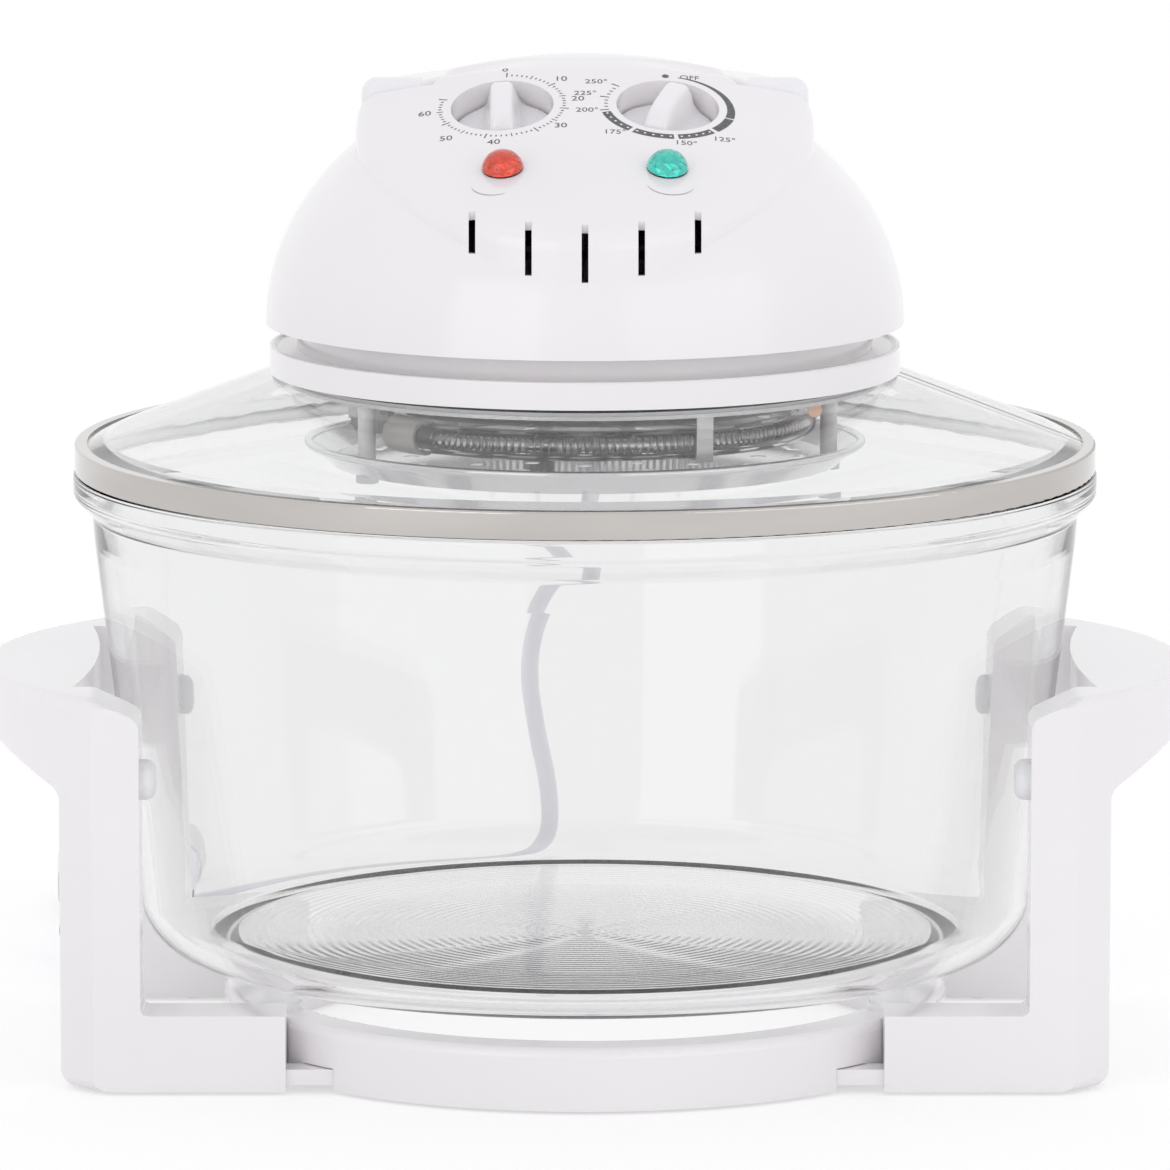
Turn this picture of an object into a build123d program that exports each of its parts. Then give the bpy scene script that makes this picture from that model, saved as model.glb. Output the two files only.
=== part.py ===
from build123d import *
import math
import os

# Halogen oven: a glass bowl that stands loose on a plastic ring between two handle frames,
# under a lift-off glass lid with a steel rim. The heating head is fixed in the lid's middle:
# a domed housing with two dials above the glass, and a fan, a ring-shaped halogen tube and a
# perforated guard below it.
# Millimetres, +Z up, the front faces -Y. The origin is on the table, under the bowl's axis.

# ------------------------------------------------------------------ gaps and fits
free_gap = 0.3  # between pieces that move apart
running_gap = 0.05  # radial, a pin or shaft that turns in its bore
seat_gap = 0.02  # radial, a pin or screw held in its bore

# ------------------------------------------------------------------ bowl
rim_outer_r = 165.4
rim_wall = 5.0
rim_bead_h = 7.0
rim_root_drop = 13.0  # where the rim's flare starts, below its top
rim_edge_r = 1.2
shoulder_inset = 6.8  # the wall's top, in from the rim
shoulder_drop = 23.0
shoulder_blend_r = 12.0
flare = 0.8
flare_blend_r = 3.0
bowl_height = 156.5
bowl_taper = 15.9  # the wall leans in by this much on its way down
bowl_corner_r = 20.0
bowl_wall = 5.0
bowl_lift = 11.5  # its bottom above the ring's top
ring_height = 21.0

ring_top_z = ring_height
bowl_bottom_z = ring_top_z + bowl_lift
rim_top_z = bowl_bottom_z + bowl_height
rim_root_z = rim_top_z - rim_root_drop
rim_inner_r = rim_outer_r - rim_wall
bowl_shoulder_r = rim_outer_r - shoulder_inset
bowl_shoulder_z = rim_top_z - shoulder_drop
bowl_foot_r = bowl_shoulder_r - bowl_taper  # where the wall's line would meet the bottom

# ------------------------------------------------------------------ stand
pad_proud = 1.0  # rubber feet under the plastic
ring_tuck = 25.1  # the ring's outside, in from the bowl's foot
ring_width = 16.3
ring_wall = 2.6
ring_edge_r = 3.0

frame_tuck = 29.6  # a post's front face, in from the ring's front
post_depth = 22.0
post_under_shoulder = 17.6  # a post's inner face, in from the bowl's shoulder
post_width = 26.0
foot_reach = 22.6  # the foot's end, in from the ring's side
foot_height = 25.6
grip_reach = 29.0  # the grip's outer face beyond the posts, at its middle
grip_outer_turn = 11.0  # where the front face turns into the outer sweep
grip_bow = 5.0  # the grip's inner face bows in by this much
grip_inner_inset = 4.0  # and ends this far in from the posts' outer face
grip_top_z = 127.3
grip_thin = 17.0  # thickness at the outer edge
grip_edge_r = 4.0
grip_web = 4.0  # the posts are thicker where they join the grip
post_inner_top_z = 120.3
grip_root_z = 95.5  # underside where the post ends
window_top_z = 99.0
window_corner_r = 20.0
foot_corner_r = 5.5

tongue_width = 10.0
tongue_thick = 5.0
tongue_inset = 7.0  # its middle line, in from the posts' front
tongue_from_edge = 6.54  # its screw, in from the ring's outside
tongue_lift = 3.0
boss_r = 3.5
screw_shank_r = 1.6
screw_head_r = 3.0
screw_head_h = 1.7
ring_screw_length = 12.0

foot_pad_r = 7.0
foot_pad_thick = 3.0

peg_from_edge = 7.48  # in from the ring's outside
peg_angle = 27.59
peg_r = 6.1
peg_flange_r = 7.0
peg_flange_h = 2.3
peg_stem_r = 3.0
peg_stem_length = 5.0

side_pad_r = 6.5
side_pad_proud = 5.0
side_pad_edge_r = 3.2
side_pad_stem_r = 2.0
side_pad_stem_length = 5.0
side_pad_z = 100.0

# ------------------------------------------------------------------ lid
band_inset = 0.4  # the band's outside, in from the bowl's rim
band_width = 8.0
band_lip = 4.0  # how far the band reaches in over the glass
band_height = 9.0
band_sheet = 0.8
lid_glass_thick = 4.0
lid_bend_inset = 6.0
lid_bend_rise = 1.8
lid_rise = 32.4  # the flat round the hole, above the bowl's rim
lid_hole_r = 84.0
lid_flat_margin = 5.0  # flat glass outside the neck
cone_blend = 2.0

collar_reach = 1.8  # out over the cone
collar_height = 8.6
collar_wall = 3.0
collar_deck_drop = 1.0
collar_deck_thick = 2.4
collar_ledge = 1.0
collar_clearance = 0.9  # over the sloping glass
collar_edge_r = 0.7

plate_lap = 10.0  # under the glass, beyond the hole
plate_sheet = 1.2
gasket_thick = 1.6
gasket_inset = 1.0

# ------------------------------------------------------------------ head
neck_lap = 9.0  # over the glass, beyond the hole
head_wall = 2.6
base_floor_lift = 2.6
base_floor_thick = 2.5
base_flange_lift = 18.1
base_flange_thick = 2.5
cover_boss_h = 30.0
clamp_boss_r = 4.5
clamp_screw_length = 10.0
head_screw_length = 12.0
shaft_hole_r = 6.0

dome_overhang = 10.0  # beyond the neck
dome_height = 83.0  # of the whole half ellipsoid, above the lip
dome_lip_drop = 2.5  # below the base's flange
deck_height = 61.5  # the dome's flat top, above the lip
deck_edge_r = 4.0

pod_lift = 7.0  # its foot above the dome's lip
pod_side_inset = 29.5  # in from the dome's side
pod_front_inset = 14.2
pod_centre_y = -10.0
panel_back_y = 12.0  # a point on the panel's middle line, near its back edge
panel_rise = 24.5  # of that point above the deck
panel_tilt = 22.9
panel_clear = 0.4  # the side view's line over the crown
panel_crown_r = 400.0
pod_back_y = 22.0  # where the panel's line and the back slope would meet
pod_back_slope = 33.0
pod_back_r = 30.0
pod_edge_r = 8.0
tail_half_width = 51.0
tail_depth = 50.0

slot_pitch = 17.7
slot_width = 2.1
slot_count = 5
slot_bottoms = (17.0, 19.0, 25.0)  # above the pod's foot, from the middle slot outwards
slot_tops = (35.5, 36.0, 40.0)
slot_depth = 12.0

well_r = 16.5
well_depth = 13.4
well_x = 26.5
well_slope = 34.9  # down the panel from its back point
lamp_x = 26.0
lamp_slope = 76.4
lamp_r = 6.7
lamp_body_r = 6.0
lamp_body_length = 15.0
lamp_rise = 3.2

knob_r = 15.7
knob_disc_thick = 3.0
knob_float = 0.4  # disc above the well's floor
wing_width = 8.6
wing_length = 29.0
wing_height = 10.4
timer_knob_turn = 0.0
thermostat_knob_turn = 48.0
spindle_r = 3.0
spindle_length = 26.0
spindle_sunk = 9.0  # into the knob

timer_size = 36.0
timer_depth = 18.0
thermostat_r = 17.0
thermostat_depth = 15.0

# ------------------------------------------------------------------ carry handle
handle_y = 6.0
handle_lift = 8.5  # its pivot above the deck
knuckle_r = 8.2
knuckle_gap = 1.5  # beside the pod's tail
knuckle_width = 19.5
knuckle_edge_r = 5.0
handle_low = 5.5  # arm below and above the pivot's height
handle_high = 5.0
handle_inner_inset = 1.5  # its inner edge, in from the knuckle's face
handle_inner_depth = 62.0
handle_outer_inset = 2.0
handle_outer_depth = 80.0
handle_edge_r = 3.0
handle_pin_r = 2.5
handle_pin_root = 7.0  # inside the pod's side
handle_pin_cover = 6.0  # short of the handle's outer face
pin_boss_r = 4.5

button_x = 52.0
button_y = 34.0
button_r = 3.0
button_flange_r = 4.5
button_flange_h = 1.7
button_travel = 2.5
switch_length = 20.0
switch_width = 10.0
switch_height = 15.0

# ------------------------------------------------------------------ motor and fans
stator_size = 52.0
stator_height = 18.0
stator_bore_r = 15.5
rotor_r = 15.0
shaft_r = 2.5
shaft_below = 2.5  # its ends below the lower fan and above the stator
shaft_above = 8.0
motor_post_r = 3.0
motor_post_x = 21.0
strap_thick = 2.0
strap_width = 14.0
bush_r = 5.0
coil_width = 30.0
coil_depth = 14.0

cooling_fan_r = 25.0
cooling_fan_lift = 2.0  # above the base's floor
cooling_fan_height = 6.0
cooling_blades = 8
hot_fan_margin = 6.0  # inside the guard's mouth
hot_fan_drop = 3.1  # below the plate
hot_fan_height = 7.0
hot_blades = 10
blade_thick = 1.0
hub_r = 6.0

# ------------------------------------------------------------------ under the glass
guard_cup_margin = 2.0  # beyond the heater's ring
guard_cup_taper = 5.0
guard_cup_height = 5.6
guard_cup_lip = 11.0
guard_cup_sheet = 0.7
cup_windows = 18
cup_window_width = 14.0
cup_window_edge = 1.2

heater_inset = 8.6  # the tube's ring, in from the sleeves
heater_tube_r = 4.8
heater_tube_wall = 1.0
heater_drop = 11.0  # below the plate
heater_start = 224.0  # degrees from +X, counter-clockwise
heater_sweep = 301.0
filament_r = 1.4
cap_r = 5.8
cap_length = 15.0
lead_width = 3.0
lead_thick = 0.8
lead_offset = 5.0  # outwards from the tube's own ring
clip_angles = (25.0, 100.0, 300.0)
clip_width = 6.0
clip_sheet = 0.8

tray_inset = 3.5  # its rim, in from the plate's edge
tray_flare = 8.5
tray_drop = 24.4  # its floor below the plate
tray_depth = 8.0
tray_sheet = 1.0
tray_bead_r = 1.3
hole_r = 2.6
hole_row_radii = (24.0, 40.0, 56.0)
hole_row_counts = (8, 12, 18)
hole_slot_inset = 12.0  # the row of slots, in from the floor's edge
hole_slots = 20
hole_slot_length = 11.0

sleeve_angles = (358.0, 103.0, 208.0)
sleeve_r = 2.8
sleeve_inset = 3.4  # in from the tray floor's edge
nut_r = 3.6
nut_thick = 2.5
rod_r = 1.5

# ------------------------------------------------------------------ cord
cord_r = 3.1
gland_lift = 12.5  # above the base's flange
gland_reach = 27.0  # beyond the dome
gland_root_r = 7.2
gland_tip_r = 4.4
gland_flange_r = 9.0
gland_flange_thick = 2.0
gland_flange_inset = 9.5
gland_hole_depth = 20.0
pin_boss_wall = 1.5
plug_boot_length = 22.0
plug_boot_r = 7.0
plug_width = 34.0
plug_height = 22.0
plug_length = 38.0
plug_pin_r = 2.4
plug_pin_length = 19.0
plug_pin_pitch = 18.6
hank_length = 98.0
hank_width = 37.0
hank_height = 14.0
hank_corner_r = 12.0
hank_front_y = 96.0
hank_x = -163.0
hank_turn = 3.3  # degrees away from straight back
terminal_length = 20.0
terminal_width = 14.0
bulb_angle = 335.0
bulb_offset = 10.0  # outwards from the heater's ring
bulb_r = 2.2
bulb_length = 36.0
capillary_r = 0.8
# the free stretch, from the gland's tip to the hank, chosen by hand
cord_route = (
    (0.0, 130.0, 252.0),
    (0.0, 151.5, 252.0),
    (1.5, 171.5, 241.5),
    (3.0, 183.5, 220.5),
    (4.0, 186.5, 196.0),
    (3.6, 185.2, 171.5),
    (1.8, 184.6, 148.0),
    (-5.5, 183.5, 126.5),
    (-16.5, 182.8, 110.0),
    (-20.5, 182.0, 91.0),
    (-17.2, 181.4, 71.5),
    (-12.6, 180.6, 51.0),
    (-12.2, 181.2, 34.5),
    (-17.5, 183.8, 19.5),
    (-28.0, 188.6, 8.8),
    (-42.5, 193.6, 3.6),
    (-60.0, 196.4, 3.2),
    (-78.0, 194.0, 3.3),
    (-95.5, 187.4, 3.2),
    (-112.5, 179.6, 3.3),
    (-129.2, 175.0, 3.2),
    (-146.1, 174.0, 3.2),
)

# inside the head, from the gland's flange to the terminal block
lead_route = (
    (0.0, 93.5, 252.0),
    (0.0, 80.0, 252.0),
    (-1.0, 66.8, 248.8),
    (-6.2, 54.0, 243.6),
    (-15.6, 44.0, 238.8),
    (-28.6, 38.0, 235.0),
    (-42.6, 36.0, 233.0),
    (-56.5, 36.0, 233.0),
)

# ------------------------------------------------------------------ worked out
ring_outer_r = bowl_foot_r - ring_tuck
ring_inner_r = ring_outer_r - ring_width
frame_half_depth = ring_outer_r - frame_tuck
foot_inner_x = ring_outer_r - foot_reach
post_inner_x = bowl_shoulder_r - post_under_shoulder
post_outer_x = post_inner_x + post_width
grip_outer_x = post_outer_x + grip_reach
grip_corner_x = post_outer_x - grip_outer_turn
grip_inner_end_x = post_outer_x - grip_inner_inset
grip_inner_x = grip_inner_end_x - grip_bow
tongue_y = frame_half_depth - tongue_inset
tongue_x = math.sqrt((ring_outer_r - tongue_from_edge) ** 2 - tongue_y**2)
peg_x = (ring_outer_r - peg_from_edge) * math.cos(math.radians(peg_angle))
peg_y = (ring_outer_r - peg_from_edge) * math.sin(math.radians(peg_angle))

band_outer_r = rim_outer_r - band_inset
band_inner_r = band_outer_r - band_width
band_top_inner_r = band_outer_r - band_lip
lid_edge_r = band_outer_r - band_sheet - free_gap
lid_bend_r = band_top_inner_r - lid_bend_inset
lid_flat_z = rim_top_z + lid_rise
neck_outer_r = lid_hole_r + neck_lap
lid_flat_r = neck_outer_r + lid_flat_margin
cone_top_r = lid_flat_r + cone_blend
collar_outer_r = cone_top_r + collar_reach
collar_top_z = lid_flat_z + collar_height
plate_outer_r = lid_hole_r + plate_lap

band_bottom_z = rim_top_z + free_gap
band_top_z = band_bottom_z + band_height
lid_edge_top_z = band_top_z - band_sheet
lid_edge_bottom_z = lid_edge_top_z - lid_glass_thick
seal_bottom_z = band_bottom_z + band_sheet
cone_top_z = lid_flat_z - 0.4
cone_bend_z = band_top_z + lid_bend_rise
glass_under_z = lid_flat_z - lid_glass_thick
plate_top_z = glass_under_z - gasket_thick
plate_bottom_z = plate_top_z - plate_sheet
base_floor_z = lid_flat_z + base_floor_lift
base_flange_z = lid_flat_z + base_flange_lift
flange_top_z = base_flange_z + base_flange_thick
floor_top_z = base_floor_z + base_floor_thick

dome_r = neck_outer_r + dome_overhang
cover_boss_r = neck_outer_r + screw_head_r + free_gap
dome_lip_z = base_flange_z - dome_lip_drop
deck_z = dome_lip_z + deck_height
pod_base_z = dome_lip_z + pod_lift
pod_half_width = dome_r - pod_side_inset
pod_half_depth = dome_r - pod_front_inset
panel_back_z = deck_z + panel_rise
handle_z = deck_z + handle_lift
knuckle_inner_x = tail_half_width + knuckle_gap
knuckle_outer_x = knuckle_inner_x + knuckle_width
handle_inner_x = knuckle_inner_x + handle_inner_inset
handle_outer_x = knuckle_outer_x - handle_outer_inset
handle_pin_inner_x = tail_half_width - handle_pin_root
handle_pin_outer_x = handle_outer_x - handle_pin_cover
gland_z = base_flange_z + gland_lift
gland_flange_y = dome_r - gland_flange_inset
gland_tip_y = dome_r + gland_reach

tray_rim_r = plate_outer_r - tray_inset
tray_floor_r = tray_rim_r - tray_flare
tray_floor_z = plate_bottom_z - tray_drop
tray_rim_z = tray_floor_z + tray_depth
hole_slot_row_r = tray_floor_r - hole_slot_inset
sleeve_ring_r = tray_floor_r - sleeve_inset
heater_ring_r = sleeve_ring_r - heater_inset
heater_z = plate_bottom_z - heater_drop
bulb_ring_r = heater_ring_r + bulb_offset
guard_cup_r = heater_ring_r + guard_cup_margin
guard_cup_low_r = guard_cup_r - guard_cup_taper
guard_cup_mouth_r = guard_cup_low_r - guard_cup_lip
hot_fan_r = guard_cup_mouth_r - hot_fan_margin
hot_fan_z = plate_bottom_z - hot_fan_drop
cooling_fan_z = floor_top_z + cooling_fan_lift
stator_z = flange_top_z
shaft_bottom_z = hot_fan_z - hot_fan_height - shaft_below
shaft_top_z = stator_z + stator_height + shaft_above

well_floor = well_depth + head_wall
button_top_z = handle_z - handle_low - free_gap
button_flange_top_z = deck_z - head_wall - button_travel - free_gap
switch_top_z = button_flange_top_z - button_flange_h - free_gap


def slot_front_y(x):
    """How far forward the pod's front wall stands at this x."""
    return pod_centre_y - pod_half_depth * math.sqrt(1 - (x / pod_half_width) ** 2)



os.makedirs("parts", exist_ok=True)


def turned(name, outline, radii=None):
    """A piece turned about Z from its closed (radius, height) outline."""
    with BuildPart() as piece:
        with BuildSketch(Plane.XZ):
            with BuildLine():
                if radii:
                    FilletPolyline(*outline, radius=radii, close=True)
                else:
                    Polyline(*outline, close=True)
            make_face()
        revolve(axis=Axis.Z)
    piece.part.label = name
    return piece.part


def on_ring(radius, angle, z=0.0):
    """The point at this radius and angle from +X."""
    turn = math.radians(angle)
    return (radius * math.cos(turn), radius * math.sin(turn), z)


def corners(x, y, z=0.0):
    """The four places that mirror one point about both middle planes."""
    return [(sx * x, sy * y, z) for sx in (1, -1) for sy in (1, -1)]


def save(part, name):
    """Label a finished piece and write it to its own file."""
    part.label = name
    export_step(part, f"parts/{name}.step")


low_end = (Align.CENTER, Align.CENTER, Align.MIN)
high_end = (Align.CENTER, Align.CENTER, Align.MAX)


# ================================================================== stand
tongue_top_z = tongue_lift + tongue_thick
ring_roof_z = ring_top_z - ring_wall

with BuildPart() as base_ring:
    with BuildSketch(Plane.XY.offset(pad_proud)):
        Circle(ring_outer_r)
        Circle(ring_inner_r, mode=Mode.SUBTRACT)
    extrude(amount=ring_top_z - pad_proud)
    fillet(base_ring.edges().group_by(Axis.Z)[-1], ring_edge_r)
    # the channel, open underneath
    with BuildSketch(Plane.XY.offset(pad_proud)):
        Circle(ring_outer_r - ring_wall)
        Circle(ring_inner_r + ring_wall, mode=Mode.SUBTRACT)
    extrude(amount=ring_roof_z - pad_proud, mode=Mode.SUBTRACT)
    # screw bosses that the frames' tongues are pulled against
    with Locations(*corners(tongue_x, tongue_y, tongue_top_z)):
        Cylinder(boss_r, ring_roof_z - tongue_top_z, align=low_end)
        Cylinder(screw_shank_r + seat_gap, ring_screw_length, align=low_end, mode=Mode.SUBTRACT)
    # notches where the tongues pass under the outer wall
    with Locations(*corners(foot_inner_x, tongue_y, pad_proud)):
        Box(
            2 * (foot_inner_x - tongue_x),
            tongue_width + 2 * free_gap,
            tongue_top_z + free_gap - pad_proud,
            align=low_end,
            mode=Mode.SUBTRACT,
        )
    # holes for the pegs' stems
    with Locations(*corners(peg_x, peg_y, ring_top_z)):
        Cylinder(peg_stem_r + seat_gap, peg_stem_length, align=high_end, mode=Mode.SUBTRACT)
save(base_ring.part, "base_ring")

foot_pad_x = (foot_inner_x + post_outer_x) / 2
post_mid_y = frame_half_depth - post_depth / 2
window_half = frame_half_depth - post_depth
grip_half = window_half - grip_web
grip_end_x = grip_outer_x + 10.0
grip_rise = (grip_top_z - grip_thin - grip_root_z) / (grip_outer_x - post_outer_x)

with BuildPart() as right_frame:
    # plan: straight across the feet, swept out round the grip
    with BuildSketch():
        with BuildLine():
            Polyline(
                (grip_corner_x, -frame_half_depth),
                (foot_inner_x, -frame_half_depth),
                (foot_inner_x, frame_half_depth),
                (grip_corner_x, frame_half_depth),
            )
            ThreePointArc(
                (grip_corner_x, frame_half_depth),
                (grip_outer_x, 0),
                (grip_corner_x, -frame_half_depth),
            )
        make_face()
    extrude(amount=grip_top_z)
    # front elevation: foot, post and the grip's rising underside
    with BuildSketch(Plane.XZ):
        with BuildLine():
            FilletPolyline(
                (foot_inner_x, pad_proud),
                (post_outer_x, pad_proud),
                (post_outer_x, grip_root_z),
                (grip_end_x, grip_root_z + grip_rise * (grip_end_x - post_outer_x)),
                (grip_end_x, grip_top_z),
                (grip_corner_x, grip_top_z),
                (post_inner_x, post_inner_top_z),
                (post_inner_x, foot_height),
                (foot_inner_x, foot_height),
                radius=(0, foot_corner_r, 4.0, 0, 0, 8.0, 5.0, 2.5, 0),
                close=True,
            )
        make_face()
    extrude(amount=frame_half_depth, both=True, mode=Mode.INTERSECT)
    # side elevation: the window between the two posts
    with BuildSketch(Plane.YZ.offset(foot_inner_x)):
        with Locations((0, window_top_z / 2)):
            RectangleRounded(2 * window_half, window_top_z, window_corner_r)
        with Locations((0, 0)):
            Rectangle(2 * window_half, window_top_z, align=(Align.CENTER, Align.CENTER))
    extrude(amount=grip_outer_x, mode=Mode.SUBTRACT)
    # plan: the space inside the grip, where the bowl stands
    with BuildSketch():
        with BuildLine():
            Polyline(
                (grip_inner_end_x, grip_half),
                (foot_inner_x, grip_half),
                (foot_inner_x, -grip_half),
                (grip_inner_end_x, -grip_half),
            )
            ThreePointArc(
                (grip_inner_end_x, -grip_half),
                (grip_inner_x, 0),
                (grip_inner_end_x, grip_half),
            )
        make_face()
    extrude(amount=grip_top_z, mode=Mode.SUBTRACT)
    # the feet's ends clear the ring
    Cylinder(ring_outer_r + free_gap, 2 * ring_top_z, mode=Mode.SUBTRACT)
    # tongues that reach under the ring's bosses
    with BuildSketch(Plane.XY.offset(tongue_lift)):
        for side in (1, -1):
            with Locations((tongue_x, side * tongue_y)):
                Circle(tongue_width / 2)
            with Locations(((tongue_x + foot_inner_x + 2.0) / 2, side * tongue_y)):
                Rectangle(foot_inner_x + 2.0 - tongue_x, tongue_width)
    extrude(amount=tongue_thick)
    with Locations((tongue_x, tongue_y, tongue_lift), (tongue_x, -tongue_y, tongue_lift)):
        Cylinder(screw_shank_r + free_gap, tongue_thick, align=low_end, mode=Mode.SUBTRACT)
    # recesses for the rubber feet and holes for the side pads
    with Locations((foot_pad_x, post_mid_y, 0), (foot_pad_x, -post_mid_y, 0)):
        Cylinder(foot_pad_r + seat_gap, foot_pad_thick, align=low_end, mode=Mode.SUBTRACT)
    with Locations(
        Location((post_inner_x, post_mid_y, side_pad_z), (0, 90, 0)),
        Location((post_inner_x, -post_mid_y, side_pad_z), (0, 90, 0)),
    ):
        Cylinder(side_pad_stem_r + seat_gap, side_pad_stem_length, align=low_end, mode=Mode.SUBTRACT)
    grip_edges = right_frame.edges().filter_by(lambda e: e.bounding_box().max.X > grip_outer_x - 0.5)
    fillet(grip_edges, grip_edge_r)
save(right_frame.part, "right_handle_frame")

with BuildPart() as left_frame:
    mirror(right_frame.part, about=Plane.YZ)
save(left_frame.part, "left_handle_frame")

with BuildPart() as rubber_feet:
    with Locations(*corners(foot_pad_x, post_mid_y)):
        Cylinder(foot_pad_r, foot_pad_thick, align=low_end)
    chamfer(rubber_feet.edges().group_by(Axis.Z)[0], 0.6)
save(rubber_feet.part, "rubber_feet")

with BuildPart() as ring_screws:
    with Locations(*corners(tongue_x, tongue_y, tongue_lift)):
        Cylinder(screw_head_r, screw_head_h, align=high_end)
        Cylinder(screw_shank_r, ring_screw_length, align=low_end)
save(ring_screws.part, "ring_screws")

with BuildPart() as bowl_pegs:
    with Locations(*corners(peg_x, peg_y, ring_top_z)):
        Cylinder(peg_flange_r, peg_flange_h, align=low_end)
        Cylinder(peg_r, bowl_bottom_z - free_gap - ring_top_z, align=low_end)
        Cylinder(peg_stem_r, peg_stem_length, align=high_end)
    chamfer(bowl_pegs.edges().group_by(Axis.Z)[-1], 0.8)
save(bowl_pegs.part, "bowl_pegs")

# a low button on each post's inner face, with its stem in the post
side_pad = turned(
    "side_pad",
    (
        (0, -side_pad_stem_length),
        (side_pad_stem_r, -side_pad_stem_length),
        (side_pad_stem_r, 0),
        (side_pad_r, 0),
        (side_pad_r, side_pad_proud),
        (0, side_pad_proud),
    ),
    (0, 0, 0, 0, side_pad_edge_r, 0),
)
with BuildPart() as side_pads:
    with Locations(
        *[
            Location((side * post_inner_x, end * post_mid_y, side_pad_z), (0, -side * 90, 0))
            for side in (1, -1)
            for end in (1, -1)
        ]
    ):
        add(side_pad)
save(side_pads.part, "side_pads")

# ================================================================== bowl
wall_slope = (bowl_shoulder_r - bowl_foot_r) / (bowl_shoulder_z - bowl_bottom_z)
inner_foot_r = bowl_foot_r - bowl_wall + wall_slope * bowl_wall
glass_bowl = turned(
    "glass_bowl",
    (
        (0, bowl_bottom_z),
        (bowl_foot_r, bowl_bottom_z),
        (bowl_shoulder_r, bowl_shoulder_z),
        (bowl_shoulder_r + flare, rim_root_z),
        (rim_outer_r, rim_top_z - rim_bead_h),
        (rim_outer_r, rim_top_z),
        (rim_inner_r, rim_top_z),
        (bowl_shoulder_r - bowl_wall, bowl_shoulder_z),
        (inner_foot_r, bowl_bottom_z + bowl_wall),
        (0, bowl_bottom_z + bowl_wall),
    ),
    (
        0,
        bowl_corner_r,
        shoulder_blend_r,
        flare_blend_r,
        flare_blend_r,
        rim_edge_r,
        rim_edge_r,
        shoulder_blend_r,
        bowl_corner_r - bowl_wall,
        0,
    ),
)
save(glass_bowl, "glass_bowl")

# ================================================================== lid
lid_glass = turned(
    "lid_glass",
    (
        (lid_hole_r, lid_flat_z),
        (lid_hole_r, glass_under_z),
        (lid_flat_r - 1.0, glass_under_z),
        (lid_bend_r - 0.8, cone_bend_z - lid_glass_thick - 0.2),
        (band_top_inner_r, lid_edge_bottom_z),
        (lid_edge_r, lid_edge_bottom_z),
        (lid_edge_r, lid_edge_top_z),
        (band_top_inner_r, lid_edge_top_z),
        (lid_bend_r, cone_bend_z),
        (cone_top_r, cone_top_z),
        (lid_flat_r, lid_flat_z),
    ),
)
save(lid_glass, "lid_glass")

with BuildPart() as lid_rim_band:
    # one strip of sheet, rolled round the glass's edge and the seal
    with BuildSketch(Plane.XZ):
        with Locations((band_outer_r, band_bottom_z)):
            Rectangle(band_outer_r - band_inner_r, band_height, align=(Align.MAX, Align.MIN))
        with Locations((band_outer_r - band_sheet, band_bottom_z + band_sheet)):
            Rectangle(
                band_outer_r - band_inner_r,
                band_height - 2 * band_sheet,
                align=(Align.MAX, Align.MIN),
                mode=Mode.SUBTRACT,
            )
        with Locations((band_top_inner_r, band_top_z)):
            Rectangle(
                band_outer_r - band_inner_r,
                2 * band_sheet,
                align=(Align.MAX, Align.CENTER),
                mode=Mode.SUBTRACT,
            )
    revolve(axis=Axis.Z)
    fillet(
        lid_rim_band.edges().filter_by(GeomType.CIRCLE).sort_by(SortBy.RADIUS)[-2:],
        band_sheet * 0.9,
    )
save(lid_rim_band.part, "lid_rim_band")

lid_seal = turned(
    "lid_seal",
    (
        (band_inner_r + 0.5, seal_bottom_z),
        (lid_edge_r, seal_bottom_z),
        (lid_edge_r, lid_edge_bottom_z),
        (band_top_inner_r, lid_edge_bottom_z),
        (band_inner_r + 0.5, lid_edge_bottom_z - 0.6),
    ),
)
save(lid_seal, "lid_seal")

deck_top_z = collar_top_z - collar_deck_drop
cone_slope = (cone_top_z - cone_bend_z) / (lid_bend_r - cone_top_r)
glass_at_collar_z = cone_top_z - (collar_outer_r - cone_top_r) * cone_slope
collar_ring = turned(
    "collar_ring",
    (
        (neck_outer_r + seat_gap, deck_top_z - collar_deck_thick),
        (collar_outer_r - collar_wall, deck_top_z - collar_deck_thick),
        (collar_outer_r - collar_wall, lid_flat_z),
        (collar_outer_r, glass_at_collar_z + collar_clearance),
        (collar_outer_r, collar_top_z),
        (collar_outer_r - collar_wall / 2, collar_top_z),
        (collar_outer_r - collar_wall / 2 - collar_ledge, deck_top_z),
        (neck_outer_r + seat_gap, deck_top_z),
    ),
    (0, collar_edge_r, 0, 0, collar_edge_r, collar_edge_r, 0.5, 0),
)
save(collar_ring, "collar_ring")

with BuildPart() as mount_plate:
    with BuildSketch(Plane.XY.offset(plate_bottom_z)):
        Circle(plate_outer_r)
        Circle(shaft_hole_r, mode=Mode.SUBTRACT)
        with Locations(*[on_ring(sleeve_ring_r, angle) for angle in sleeve_angles]):
            Circle(rod_r + seat_gap, mode=Mode.SUBTRACT)
        with Locations(on_ring(bulb_ring_r, bulb_angle)):
            Circle(capillary_r + free_gap, mode=Mode.SUBTRACT)
        with PolarLocations(sleeve_ring_r, 4, start_angle=45):
            Circle(screw_shank_r + seat_gap, mode=Mode.SUBTRACT)
    extrude(amount=plate_sheet)
save(mount_plate.part, "mount_plate")

clamp_gasket = turned(
    "clamp_gasket",
    (
        (lid_hole_r + 0.5, plate_top_z),
        (plate_outer_r - gasket_inset, plate_top_z),
        (plate_outer_r - gasket_inset, glass_under_z),
        (lid_hole_r + 0.5, glass_under_z),
    ),
)
save(clamp_gasket, "clamp_gasket")

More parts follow.
